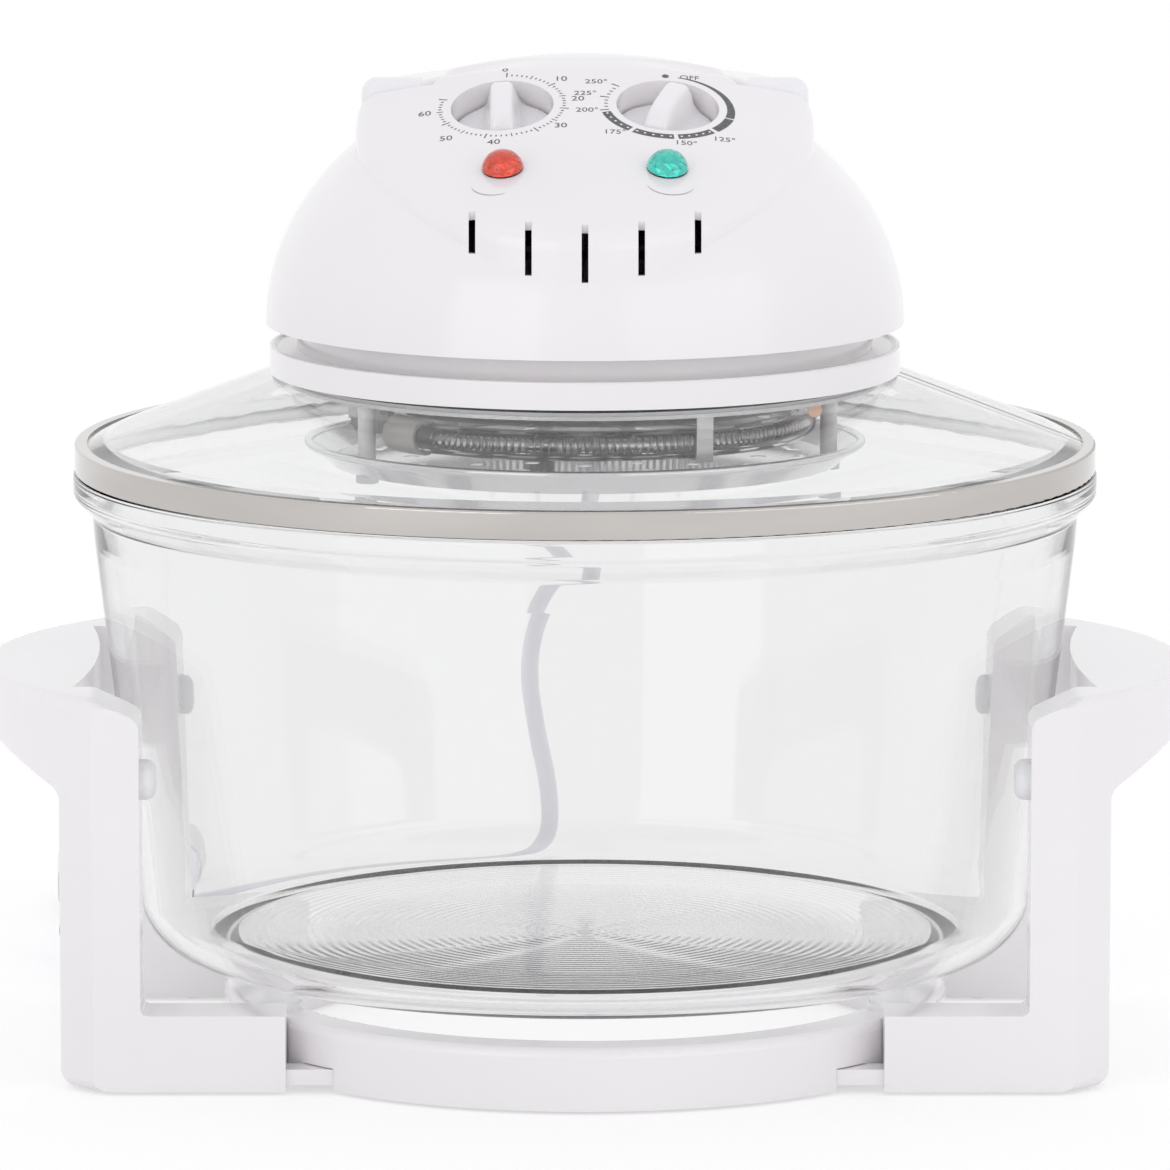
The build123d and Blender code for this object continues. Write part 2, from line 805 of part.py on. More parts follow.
# ================================================================== head
with BuildPart() as head_base:
    # neck, floor and the flange that carries the cover
    with BuildSketch(Plane.XZ):
        with BuildLine():
            Polyline(
                (shaft_hole_r, base_floor_z),
                (neck_outer_r - head_wall, base_floor_z),
                (neck_outer_r - head_wall, lid_flat_z),
                (neck_outer_r, lid_flat_z),
                (neck_outer_r, base_flange_z),
                (dome_r - head_wall - 1.0, base_flange_z),
                (dome_r - head_wall - 1.0, flange_top_z),
                (neck_outer_r - head_wall, flange_top_z),
                (neck_outer_r - head_wall, floor_top_z),
                (shaft_hole_r, floor_top_z),
                close=True,
            )
        make_face()
    revolve(axis=Axis.Z)
    # bosses through the glass's hole, for the clamp screws
    with PolarLocations(sleeve_ring_r, 4, start_angle=45):
        with Locations((0, 0, plate_top_z)):
            Cylinder(clamp_boss_r, base_floor_z - plate_top_z + 1.0, align=low_end)
            Cylinder(
                screw_shank_r + seat_gap,
                base_floor_z - plate_top_z + 1.0,
                align=low_end,
                mode=Mode.SUBTRACT,
            )
    # posts under the motor
    with Locations(*corners(motor_post_x, motor_post_x, floor_top_z)):
        Cylinder(motor_post_r, stator_z - floor_top_z, align=low_end)
    with PolarLocations(cover_boss_r, 4, start_angle=45):
        with Locations((0, 0, base_flange_z)):
            Cylinder(screw_shank_r + free_gap, base_flange_thick, align=low_end, mode=Mode.SUBTRACT)
    with Locations(on_ring(bulb_ring_r, bulb_angle, base_floor_z)):
        Cylinder(capillary_r + free_gap, base_floor_thick, align=low_end, mode=Mode.SUBTRACT)
save(head_base.part, "head_base")

with BuildPart() as clamp_screws:
    with PolarLocations(sleeve_ring_r, 4, start_angle=45):
        with Locations((0, 0, plate_bottom_z)):
            Cylinder(screw_head_r, screw_head_h, align=high_end)
            Cylinder(screw_shank_r, clamp_screw_length, align=low_end)
save(clamp_screws.part, "clamp_screws")

# the panel's own directions: up its slope, and square to its middle line
tilt = math.radians(panel_tilt)
up_slope = Vector(0, math.cos(tilt), math.sin(tilt))
panel_normal = Vector(0, -math.sin(tilt), math.cos(tilt))
panel_point = Vector(0, panel_back_y, panel_back_z)
crown_centre = panel_point - panel_normal * panel_crown_r


def panel_plane(x, down_slope, sunk=0.0, turn=0.0):
    """The plane square to the crowned panel at this place, sunk below its face."""
    lean = math.asin(x / panel_crown_r)
    out = Vector(math.sin(lean), 0, 0) + panel_normal * math.cos(lean)
    across = up_slope.cross(out)
    swing = math.radians(turn)
    origin = crown_centre + out * (panel_crown_r - sunk) - up_slope * down_slope
    return Plane(origin=origin, x_dir=across * math.cos(swing) + up_slope * math.sin(swing), z_dir=out)


def dome_form(inset):
    """The flat-topped half ellipsoid, with every face moved in by inset."""
    rise = dome_height - inset
    radius = dome_r - inset
    flat_rise = deck_z - inset - dome_lip_z
    flat_angle = math.degrees(math.asin(flat_rise / rise))
    flat_r = radius * math.cos(math.radians(flat_angle))
    with BuildPart() as dome:
        with BuildSketch(Plane.XZ):
            with BuildLine():
                EllipticalCenterArc((0, dome_lip_z), radius, rise, start_angle=0, arc_size=flat_angle)
                Polyline(
                    (flat_r, deck_z - inset),
                    (0, deck_z - inset),
                    (0, dome_lip_z),
                    (radius, dome_lip_z),
                )
            make_face()
        revolve(axis=Axis.Z)
        fillet(dome.edges().filter_by(GeomType.CIRCLE).group_by(Axis.Z)[-1], deck_edge_r - inset / 2)
    return dome.part


def pod_block(half_width, half_depth, centre_y, inset, edge_r):
    """An upright elliptical block under the crowned panel, every face moved in by inset."""
    corner_z = panel_back_z + (pod_back_y - panel_back_y) * math.tan(tilt)
    front_y = pod_centre_y - pod_half_depth - 10.0
    front_z = panel_back_z + (front_y - panel_back_y) * math.tan(tilt)
    back_y = handle_y + tail_depth + 10.0
    back_z = corner_z - (back_y - pod_back_y) * math.tan(math.radians(pod_back_slope))
    with BuildPart() as block:
        with BuildSketch(Plane.XY.offset(pod_base_z)):
            with Locations((0, centre_y)):
                Ellipse(half_width - inset, half_depth - inset)
        extrude(amount=2 * (corner_z - pod_base_z))
        add(crown_barrel(inset), mode=Mode.INTERSECT)
        if edge_r:
            fillet(block.edges().filter_by(GeomType.BSPLINE).sort_by(Axis.Z)[-1], edge_r)
        # side view: the panel's slope, rounded over into the back
        with BuildSketch(Plane.YZ):
            with BuildLine():
                FilletPolyline(
                    (front_y, pod_base_z - 10.0),
                    (front_y, front_z + panel_clear),
                    (pod_back_y, corner_z + panel_clear),
                    (back_y, back_z),
                    (back_y, pod_base_z - 10.0),
                    radius=(0, 0, pod_back_r, 0, 0),
                    close=True,
                )
            make_face()
            if inset:
                offset(amount=-inset)
        extrude(amount=pod_half_width + 1.0, both=True, mode=Mode.INTERSECT)
    return block.part


def crown_barrel(inset):
    """The long barrel along the slope whose top is the panel's crown."""
    with BuildPart() as barrel:
        with BuildSketch(Plane(origin=crown_centre, x_dir=(1, 0, 0), z_dir=up_slope)):
            Circle(panel_crown_r - inset)
        extrude(amount=2.5 * pod_half_depth, both=True)
    return barrel.part


def head_form(inset, edge_r):
    """Dome and control pod as one body, with every face moved in by inset."""
    shoulder_y = handle_y - knuckle_r - free_gap - inset
    high = 2 * (panel_back_z - pod_base_z)
    with BuildPart() as above_panel:
        with BuildSketch(Plane.XY.offset(pod_base_z)):
            with Locations((0, pod_centre_y)):
                Ellipse(pod_half_width - inset, pod_half_depth - inset)
            with Locations((0, shoulder_y)):
                Rectangle(
                    4 * pod_half_width,
                    2 * pod_half_depth,
                    align=(Align.CENTER, Align.MIN),
                    mode=Mode.SUBTRACT,
                )
        extrude(amount=high)
        add(crown_barrel(inset), mode=Mode.SUBTRACT)
    with BuildPart() as shoulders:
        add(pod_block(pod_half_width, pod_half_depth, pod_centre_y, inset, edge_r))
        # behind the shoulders only the narrower tail stays, between the handle's arms
        with Locations((0, shoulder_y, pod_base_z)):
            Box(
                4 * pod_half_width,
                2 * pod_half_depth,
                high,
                align=(Align.CENTER, Align.MIN, Align.MIN),
                mode=Mode.SUBTRACT,
            )
    with BuildPart() as head:
        add(dome_form(inset))
        add(above_panel.part, mode=Mode.SUBTRACT)
        add(shoulders.part)
        add(pod_block(tail_half_width, tail_depth, handle_y, inset, edge_r))
    return head.part



with BuildPart() as head_cavity:
    add(head_form(head_wall, 0))
    # what the moulding keeps inside: dial wells, bosses for the handle's pins and the screws
    for side in (1, -1):
        with BuildSketch(panel_plane(side * well_x, well_slope, well_floor)):
            Circle(well_r + head_wall)
        extrude(amount=well_floor + 5.0, mode=Mode.SUBTRACT)
        boss_x = handle_pin_inner_x - pin_boss_wall
        with Locations(Location((side * boss_x, handle_y, handle_z), (0, side * 90, 0))):
            Cylinder(pin_boss_r, tail_half_width - boss_x, align=low_end, mode=Mode.SUBTRACT)
        with Locations((button_x, button_y + side * (button_flange_r + 2.5), deck_z)):
            Cylinder(1.8, deck_z - switch_top_z, align=high_end, mode=Mode.SUBTRACT)
    with PolarLocations(cover_boss_r, 4, start_angle=45):
        with Locations((0, 0, flange_top_z)):
            Cylinder(boss_r, cover_boss_h, align=low_end, mode=Mode.SUBTRACT)

with BuildPart() as head_cover:
    add(head_form(0, pod_edge_r))
    add(head_cavity.part, mode=Mode.SUBTRACT)
    # dial wells, with a hole in each floor for the spindle
    for side in (1, -1):
        with BuildSketch(panel_plane(side * well_x, well_slope, well_depth)):
            Circle(well_r)
        extrude(amount=well_depth + 5.0, mode=Mode.SUBTRACT)
        with BuildSketch(panel_plane(side * well_x, well_slope, well_floor)):
            Circle(spindle_r + free_gap)
        extrude(amount=well_floor, mode=Mode.SUBTRACT)
        with BuildSketch(panel_plane(side * lamp_x, lamp_slope, lamp_body_length)):
            Circle(lamp_body_r + seat_gap)
        extrude(amount=lamp_body_length + 5.0, mode=Mode.SUBTRACT)
        with Locations(Location((side * handle_pin_inner_x, handle_y, handle_z), (0, side * 90, 0))):
            Cylinder(handle_pin_r + seat_gap, tail_half_width, align=low_end, mode=Mode.SUBTRACT)
    # vent slots in the pod's front wall, longest in the middle
    for index in range(slot_count):
        step = index - slot_count // 2
        low, high = pod_base_z + slot_bottoms[abs(step)], pod_base_z + slot_tops[abs(step)]
        with Locations((step * slot_pitch, slot_front_y(step * slot_pitch), (low + high) / 2)):
            Box(slot_width, slot_depth, high - low, mode=Mode.SUBTRACT)
    # the safety button's hole, the gland's hole and the screws' pilot holes
    with Locations((button_x, button_y, deck_z)):
        Cylinder(button_r + running_gap, 3 * head_wall, mode=Mode.SUBTRACT)
    with Locations(Location((0, dome_r, gland_z), (90, 0, 0))):
        Cylinder(gland_root_r + seat_gap, gland_hole_depth, mode=Mode.SUBTRACT)
    with PolarLocations(cover_boss_r, 4, start_angle=45):
        with Locations((0, 0, flange_top_z)):
            Cylinder(
                screw_shank_r + seat_gap,
                head_screw_length - base_flange_thick + free_gap,
                align=low_end,
                mode=Mode.SUBTRACT,
            )
save(head_cover.part, "head_cover")

with BuildPart() as head_screws:
    with PolarLocations(cover_boss_r, 4, start_angle=45):
        with Locations((0, 0, base_flange_z)):
            Cylinder(screw_head_r, screw_head_h, align=high_end)
            Cylinder(screw_shank_r, head_screw_length, align=low_end)
save(head_screws.part, "head_screws")

# ------------------------------------------------------------------ dials and what they turn


def dial_knob(side, turn):
    """A disc with a raised wing to turn it by, low in its well."""
    disc_sunk = well_depth - knob_float
    with BuildPart() as knob:
        with BuildSketch(panel_plane(side * well_x, well_slope, disc_sunk, turn)):
            Circle(knob_r)
        extrude(amount=knob_disc_thick)
        with BuildSketch(panel_plane(side * well_x, well_slope, disc_sunk - knob_disc_thick, turn)):
            SlotOverall(wing_length, wing_width, rotation=90)
        extrude(amount=wing_height, taper=4)
        with BuildSketch(panel_plane(side * well_x, well_slope, disc_sunk, turn)):
            Circle(spindle_r + seat_gap)
        extrude(amount=spindle_sunk, mode=Mode.SUBTRACT)
    return knob.part


def dial_spindle(side):
    """The shaft that joins a knob to the unit under the well."""
    with BuildPart() as spindle:
        with BuildSketch(panel_plane(side * well_x, well_slope, well_depth - knob_float - spindle_sunk)):
            Circle(spindle_r)
        extrude(amount=-spindle_length)
    return spindle.part


timer_knob = dial_knob(-1, timer_knob_turn)
save(timer_knob, "timer_knob")
thermostat_knob = dial_knob(1, thermostat_knob_turn)
save(thermostat_knob, "thermostat_knob")
save(dial_spindle(-1), "timer_spindle")
save(dial_spindle(1), "thermostat_spindle")

with BuildPart() as timer_unit:
    # clockwork timer: a square box with rounded corners, held under the left well
    with BuildSketch(panel_plane(-well_x, well_slope, well_floor)):
        RectangleRounded(timer_size, timer_size, 5.0)
    extrude(amount=-timer_depth)
    with BuildSketch(panel_plane(-well_x, well_slope, well_floor)):
        Circle(spindle_r + running_gap)
    extrude(amount=-timer_depth + 2.0, mode=Mode.SUBTRACT)
save(timer_unit.part, "timer_unit")

with BuildPart() as thermostat_unit:
    # round capillary thermostat with its terminal block at the back
    with BuildSketch(panel_plane(well_x, well_slope, well_floor)):
        Circle(thermostat_r)
    extrude(amount=-thermostat_depth)
    with BuildSketch(panel_plane(well_x, well_slope, well_floor + thermostat_depth)):
        Rectangle(1.3 * thermostat_r, 0.9 * thermostat_r)
    extrude(amount=-5.0)
    with BuildSketch(panel_plane(well_x, well_slope, well_floor)):
        Circle(spindle_r + running_gap)
    extrude(amount=-thermostat_depth - 3.0, mode=Mode.SUBTRACT)
save(thermostat_unit.part, "thermostat_unit")


def panel_lamp(side):
    """A pilot lamp: a tapered twelve-sided lens on a round body through the panel."""
    with BuildPart() as lamp:
        with BuildSketch(panel_plane(side * lamp_x, lamp_slope, lamp_body_length)):
            Circle(lamp_body_r)
        extrude(amount=lamp_body_length + 0.3)
        with BuildSketch(panel_plane(side * lamp_x, lamp_slope, -0.3)):
            Circle(lamp_r)
        extrude(amount=0.8)
        with BuildSketch(panel_plane(side * lamp_x, lamp_slope, -1.1)):
            RegularPolygon(lamp_r - 0.5, 12)
        extrude(amount=lamp_rise, taper=42)
    return lamp.part


save(panel_lamp(-1), "power_lamp")
save(panel_lamp(1), "heat_lamp")

# ------------------------------------------------------------------ carry handle and switch
with BuildPart() as carry_handle:
    # a bail that lies back round the pod's tail
    with BuildSketch(Plane.XY.offset(handle_z - handle_low)):
        with Locations((0, handle_y)):
            Ellipse(handle_outer_x, handle_outer_depth)
            Ellipse(handle_inner_x, handle_inner_depth, mode=Mode.SUBTRACT)
        with Locations((0, handle_y)):
            Rectangle(
                3 * handle_outer_x,
                2 * handle_outer_depth,
                align=(Align.CENTER, Align.MAX),
                mode=Mode.SUBTRACT,
            )
    extrude(amount=handle_low + handle_high)
    bow_edges = carry_handle.edges().filter_by(lambda e: e.bounding_box().size.X > handle_inner_x)
    fillet(bow_edges, handle_edge_r)
    for side in (1, -1):
        with Locations(Location((side * knuckle_inner_x, handle_y, handle_z), (0, side * 90, 0))):
            Cylinder(knuckle_r, knuckle_outer_x - knuckle_inner_x, align=low_end)
    round_ends = carry_handle.faces().sort_by(Axis.X)
    fillet(round_ends[0].edges() + round_ends[-1].edges(), knuckle_edge_r)
    for side in (1, -1):
        with Locations(Location((side * knuckle_inner_x, handle_y, handle_z), (0, side * 90, 0))):
            Cylinder(
                handle_pin_r + running_gap,
                handle_pin_outer_x + free_gap - knuckle_inner_x,
                align=low_end,
                mode=Mode.SUBTRACT,
            )
save(carry_handle.part, "carry_handle")

with BuildPart() as handle_pins:
    for side in (1, -1):
        with Locations(Location((side * handle_pin_inner_x, handle_y, handle_z), (0, side * 90, 0))):
            Cylinder(handle_pin_r, handle_pin_outer_x - handle_pin_inner_x, align=low_end)
save(handle_pins.part, "handle_pins")

with BuildPart() as safety_button:
    with Locations((button_x, button_y, button_flange_top_z)):
        Cylinder(button_r, button_top_z - button_flange_top_z, align=low_end)
        Cylinder(button_flange_r, button_flange_h, align=high_end)
save(safety_button.part, "safety_button")

with BuildPart() as safety_switch:
    with Locations((button_x, button_y, switch_top_z)):
        Box(switch_width, switch_length, switch_height, align=high_end)
save(safety_switch.part, "safety_switch")

# ------------------------------------------------------------------ motor
stator_top_z = stator_z + stator_height

with BuildPart() as motor_stator:
    # square lamination stack, bored for the rotor, corners clipped
    with BuildSketch(Plane.XY.offset(stator_z)):
        Rectangle(stator_size, stator_size)
        chamfer(vertices(), 4.0)
        Circle(stator_bore_r, mode=Mode.SUBTRACT)
    extrude(amount=stator_height)
save(motor_stator.part, "motor_stator")

with BuildPart() as motor_coil:
    with Locations((0, stator_size / 2, stator_z + stator_height / 2)):
        Box(
            coil_width,
            coil_depth,
            stator_height + 2 * strap_thick,
            align=(Align.CENTER, Align.MIN, Align.CENTER),
        )
    fillet(motor_coil.edges().filter_by(Axis.Z), 3.0)
save(motor_coil.part, "motor_coil")

with BuildPart() as motor_straps:
    # one strap with its bush over the stack and one under it
    with Locations((0, 0, stator_top_z), (0, 0, stator_z - strap_thick)):
        Box(stator_size - 2.0, strap_width, strap_thick, align=low_end)
    with Locations((0, 0, stator_top_z)):
        Cylinder(bush_r, 3 * strap_thick, align=low_end)
    with Locations((0, 0, stator_z)):
        Cylinder(bush_r, 3 * strap_thick, align=high_end)
    Cylinder(shaft_r + running_gap, 2 * shaft_top_z, mode=Mode.SUBTRACT)
save(motor_straps.part, "motor_straps")

with BuildPart() as rotor:
    with Locations((0, 0, stator_z + 1.0)):
        Cylinder(rotor_r, stator_height - 2.0, align=low_end)
    with Locations((0, 0, shaft_bottom_z)):
        Cylinder(shaft_r, shaft_top_z - shaft_bottom_z, align=low_end)
save(rotor.part, "rotor")

with BuildPart() as cooling_fan:
    # swept-back paddles under a disc
    with Locations((0, 0, cooling_fan_z)):
        Cylinder(hub_r, cooling_fan_height, align=low_end)
        Cylinder(cooling_fan_r, blade_thick, align=low_end)
    with BuildSketch(Plane.XY.offset(cooling_fan_z)):
        with PolarLocations((cooling_fan_r + hub_r) / 2 - 0.5, cooling_blades):
            Rectangle(cooling_fan_r - hub_r, blade_thick, rotation=14)
    extrude(amount=cooling_fan_height)
    with Locations((0, 0, cooling_fan_z)):
        Cylinder(shaft_r + seat_gap, cooling_fan_height, align=low_end, mode=Mode.SUBTRACT)
save(cooling_fan.part, "cooling_fan")

with BuildPart() as convection_fan:
    # a disc with straight blades bent down from it
    with Locations((0, 0, hot_fan_z)):
        Cylinder(hot_fan_r, blade_thick, align=low_end)
        Cylinder(hub_r, hot_fan_height, align=high_end)
    with BuildSketch(Plane.XY.offset(hot_fan_z)):
        with PolarLocations((hot_fan_r + 2 * hub_r) / 2, hot_blades):
            Rectangle(hot_fan_r - 2 * hub_r - 1.0, blade_thick)
    extrude(amount=-hot_fan_height)
    Cylinder(shaft_r + seat_gap, 2 * hot_fan_z + 10.0, mode=Mode.SUBTRACT)
save(convection_fan.part, "convection_fan")

lead_end_x, lead_end_y, lead_end_z = lead_route[-1]
with BuildPart() as terminal_block:
    with Locations((lead_end_x, lead_end_y, floor_top_z)):
        Box(
            terminal_length,
            terminal_width,
            2 * (lead_end_z - floor_top_z),
            align=(Align.MAX, Align.CENTER, Align.MIN),
        )
    chamfer(terminal_block.edges().group_by(Axis.Z)[-1], 1.0)
save(terminal_block.part, "terminal_block")

# ================================================================== under the glass
cup_low_z = plate_bottom_z - guard_cup_height
with BuildPart() as fan_guard:
    # a shallow cup round the fan, with windows for the hot air in its wall
    with BuildSketch(Plane.XZ):
        with BuildLine():
            Polyline(
                (guard_cup_r + 0.5, plate_bottom_z),
                (guard_cup_r, plate_bottom_z - guard_cup_sheet),
                (guard_cup_low_r, cup_low_z),
                (guard_cup_mouth_r, cup_low_z),
                (guard_cup_mouth_r, cup_low_z + guard_cup_sheet),
                (guard_cup_low_r - 0.4, cup_low_z + guard_cup_sheet),
                (guard_cup_r - 1.0, plate_bottom_z),
                close=True,
            )
        make_face()
    revolve(axis=Axis.Z)
    with PolarLocations((guard_cup_r + guard_cup_low_r) / 2, cup_windows):
        with Locations((0, 0, cup_low_z + guard_cup_height / 2)):
            Box(
                2 * guard_cup_taper,
                cup_window_width,
                guard_cup_height - 2 * cup_window_edge,
                mode=Mode.SUBTRACT,
            )
save(fan_guard.part, "fan_guard")


def ring_piece(radius, start, sweep, hollow_r=0.0):
    """A round bar bent to the heater's ring, from one angle over a sweep, in degrees."""
    turn = math.radians(start)
    across = Plane(
        origin=(0, 0, heater_z),
        x_dir=(math.cos(turn), math.sin(turn), 0),
        z_dir=(math.sin(turn), -math.cos(turn), 0),
    )
    with BuildPart() as bar:
        with BuildSketch(across):
            with Locations((heater_ring_r, 0)):
                Circle(radius)
                if hollow_r:
                    Circle(hollow_r, mode=Mode.SUBTRACT)
        revolve(axis=Axis.Z, revolution_arc=sweep)
    return bar.part


cap_sweep = math.degrees(cap_length / heater_ring_r)
cap_angles = (heater_start - cap_sweep, heater_start + heater_sweep)
heater_tube = ring_piece(heater_tube_r, heater_start, heater_sweep, heater_tube_r - heater_tube_wall)
save(heater_tube, "heater_tube")
save(ring_piece(filament_r, heater_start, heater_sweep), "heater_filament")

with BuildPart() as heater_caps:
    for start in cap_angles:
        add(ring_piece(cap_r, start, cap_sweep))
save(heater_caps.part, "heater_caps")

with BuildPart() as heater_leads:
    # flat strips from the caps' ends up to the plate
    lead_r = heater_ring_r + lead_offset
    for angle, way in ((cap_angles[0], -1), (cap_angles[1] + cap_sweep, 1)):
        with Locations(Location((0, 0, heater_z), (0, 0, angle))):
            with Locations((lead_r, way * lead_thick / 2, 0)):
                Box(lead_width, lead_thick, plate_bottom_z - heater_z, align=low_end)
save(heater_leads.part, "heater_leads")

with BuildPart() as heater_clips:
    # J-shaped straps that hang from the plate and cradle the tube
    clip_inner = heater_tube_r + seat_gap
    for angle in clip_angles:
        spot = on_ring(heater_ring_r, angle, heater_z)
        with Locations(Location(spot, (0, 0, angle))):
            with Locations((clip_inner + clip_sheet / 2, 0, -clip_inner - clip_sheet)):
                Box(
                    clip_sheet,
                    clip_width,
                    plate_bottom_z - heater_z + clip_inner + clip_sheet,
                    align=low_end,
                )
            with Locations((0, 0, -clip_inner)):
                Box(2 * clip_inner, clip_width, clip_sheet, align=high_end)
save(heater_clips.part, "heater_clips")

with BuildPart() as guard_tray:
    # a pressed pan with a rolled rim and rows of holes
    with BuildSketch(Plane.XZ):
        with BuildLine():
            Polyline(
                (0, tray_floor_z),
                (tray_floor_r, tray_floor_z),
                (tray_rim_r - tray_bead_r, tray_rim_z - tray_bead_r),
                (tray_rim_r - tray_bead_r - tray_sheet, tray_rim_z - tray_bead_r),
                (tray_floor_r - tray_sheet / 2, tray_floor_z + tray_sheet),
                (0, tray_floor_z + tray_sheet),
                close=True,
            )
        make_face()
        with Locations((tray_rim_r - tray_bead_r, tray_rim_z - tray_bead_r)):
            Circle(tray_bead_r)
    revolve(axis=Axis.Z)
    with BuildSketch(Plane.XY.offset(tray_floor_z)):
        Circle(hole_r)
        for row_r, count in zip(hole_row_radii, hole_row_counts):
            with PolarLocations(row_r, count):
                Circle(hole_r)
        with PolarLocations(hole_slot_row_r, hole_slots):
            SlotOverall(hole_slot_length, 2 * hole_r - 1.0, rotation=90)
        with Locations(*[on_ring(sleeve_ring_r, angle) for angle in sleeve_angles]):
            Circle(rod_r + seat_gap)
    extrude(amount=2 * tray_sheet, mode=Mode.SUBTRACT)
save(guard_tray.part, "guard_tray")

sleeve_bottom_z = tray_floor_z + tray_sheet
with BuildPart() as guard_sleeves:
    with Locations(*[on_ring(sleeve_ring_r, angle, sleeve_bottom_z) for angle in sleeve_angles]):
        Cylinder(sleeve_r, plate_bottom_z - sleeve_bottom_z, align=low_end)
        Cylinder(rod_r + seat_gap, plate_bottom_z - sleeve_bottom_z, align=low_end, mode=Mode.SUBTRACT)
save(guard_sleeves.part, "guard_sleeves")

with BuildPart() as guard_rods:
    rod_bottom_z = tray_floor_z - nut_thick
    with Locations(*[on_ring(sleeve_ring_r, angle, rod_bottom_z) for angle in sleeve_angles]):
        Cylinder(rod_r, plate_top_z + 1.0 - rod_bottom_z, align=low_end)
save(guard_rods.part, "guard_rods")

with BuildPart() as guard_nuts:
    with BuildSketch(Plane.XY.offset(tray_floor_z)):
        with Locations(*[on_ring(sleeve_ring_r, angle) for angle in sleeve_angles]):
            RegularPolygon(nut_r, 6)
            Circle(rod_r + seat_gap, mode=Mode.SUBTRACT)
    extrude(amount=-nut_thick)
save(guard_nuts.part, "guard_nuts")

with BuildPart() as thermostat_bulb:
    # the sensing bulb lies against the plate, its capillary runs up to the thermostat
    bulb_spot = on_ring(bulb_ring_r, bulb_angle, plate_bottom_z - bulb_r)
    with Locations(Location(bulb_spot, (90, 0, bulb_angle))):
        Cylinder(bulb_r, bulb_length)
    unit_back = panel_plane(well_x, well_slope, well_floor + thermostat_depth + 5.0)
    with BuildLine() as capillary_path:
        FilletPolyline(
            unit_back.origin,
            unit_back.origin - unit_back.z_dir * 8.0,
            (60.0, -26.0, 248.0),
            (bulb_spot[0], bulb_spot[1], 240.0),
            bulb_spot,
            radius=4.0,
        )
    with BuildSketch(Plane(origin=capillary_path.line @ 0, z_dir=capillary_path.line % 0)):
        Circle(capillary_r)
    sweep()
save(thermostat_bulb.part, "thermostat_bulb")

# ================================================================== cord
def bend_radii(route):
    """The largest radius that the two runs at each corner leave room for."""
    radii = []
    for start, corner, end in zip(route, route[1:], route[2:]):
        before, after = Vector(*corner) - Vector(*start), Vector(*end) - Vector(*corner)
        half_turn = math.radians(before.get_angle(after)) / 2
        radii.append(0.45 * min(before.length, after.length) / math.tan(half_turn))
    return radii


def cord_tube(route):
    """A round tube along straight runs joined by tangent arcs."""
    with BuildPart() as tube:
        with BuildLine() as path:
            FilletPolyline(*route, radius=bend_radii(route))
        with BuildSketch(Plane(origin=path.line @ 0, z_dir=path.line % 0)):
            Circle(cord_r)
        sweep()
    length = path.wires()[0].length
    print("cord length", round(length, 1), "radii", [round(r) for r in bend_radii(route)])
    print("volume over section x length", tube.part.volume / (math.pi * cord_r**2 * length))
    return tube.part


save(cord_tube(cord_route), "power_cord")

save(cord_tube(lead_route), "supply_lead")

with BuildPart() as strain_relief:
    # flange inside the cover, neck through it, tapered boot outside
    with BuildSketch(Plane.YZ):
        with BuildLine():
            Polyline(
                (gland_flange_y, gland_z),
                (gland_flange_y, gland_z + gland_flange_r),
                (gland_flange_y + gland_flange_thick, gland_z + gland_flange_r),
                (gland_flange_y + gland_flange_thick, gland_z + gland_root_r),
                (dome_r + 3.0, gland_z + gland_root_r),
                (gland_tip_y, gland_z + gland_tip_r),
                (gland_tip_y, gland_z),
                close=True,
            )
        make_face()
    revolve(axis=Axis((0, 0, gland_z), (0, 1, 0)))
save(strain_relief.part, "strain_relief")

# the tied rest of the cord lies on the table, turned a little from straight back
across = Vector(1, 0, 0).rotate(Axis.Z, hank_turn)
back = Vector(0, 1, 0).rotate(Axis.Z, hank_turn)
hank_middle = Vector(hank_x, hank_front_y + hank_length / 2, 0)
with BuildPart() as cord_hank:
    with BuildSketch(Plane(origin=hank_middle, x_dir=across, z_dir=(0, 0, 1))):
        RectangleRounded(hank_width, hank_length, hank_corner_r)
    extrude(amount=hank_height)
    chamfer(cord_hank.edges().group_by(Axis.Z)[-1], 3.0)
save(cord_hank.part, "cord_hank")


def behind_hank(distance):
    """The upright plane this far behind the hank's back face, at the plug's middle height."""
    origin = hank_middle + back * (hank_length / 2 + distance) + Vector(0, 0, plug_height / 2)
    return Plane(origin=origin, x_dir=across, z_dir=back)


with BuildPart() as plug_body:
    with BuildSketch(behind_hank(0)):
        Circle(gland_tip_r)
    with BuildSketch(behind_hank(plug_boot_length)):
        Circle(plug_boot_r)
    loft()
    with BuildSketch(behind_hank(plug_boot_length)):
        RectangleRounded(plug_width, plug_height, 8.0)
    extrude(amount=plug_length)
save(plug_body.part, "plug_body")

with BuildPart() as plug_pins:
    with BuildSketch(behind_hank(plug_boot_length + plug_length)):
        with Locations((plug_pin_pitch / 2, 0), (-plug_pin_pitch / 2, 0)):
            Circle(plug_pin_r)
    extrude(amount=plug_pin_length)
save(plug_pins.part, "plug_pins")
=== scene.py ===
import math
import bmesh
import bpy
from mathutils import Matrix, Vector
from mathutils.bvhtree import BVHTree
from mathutils.interpolate import poly_3d_calc


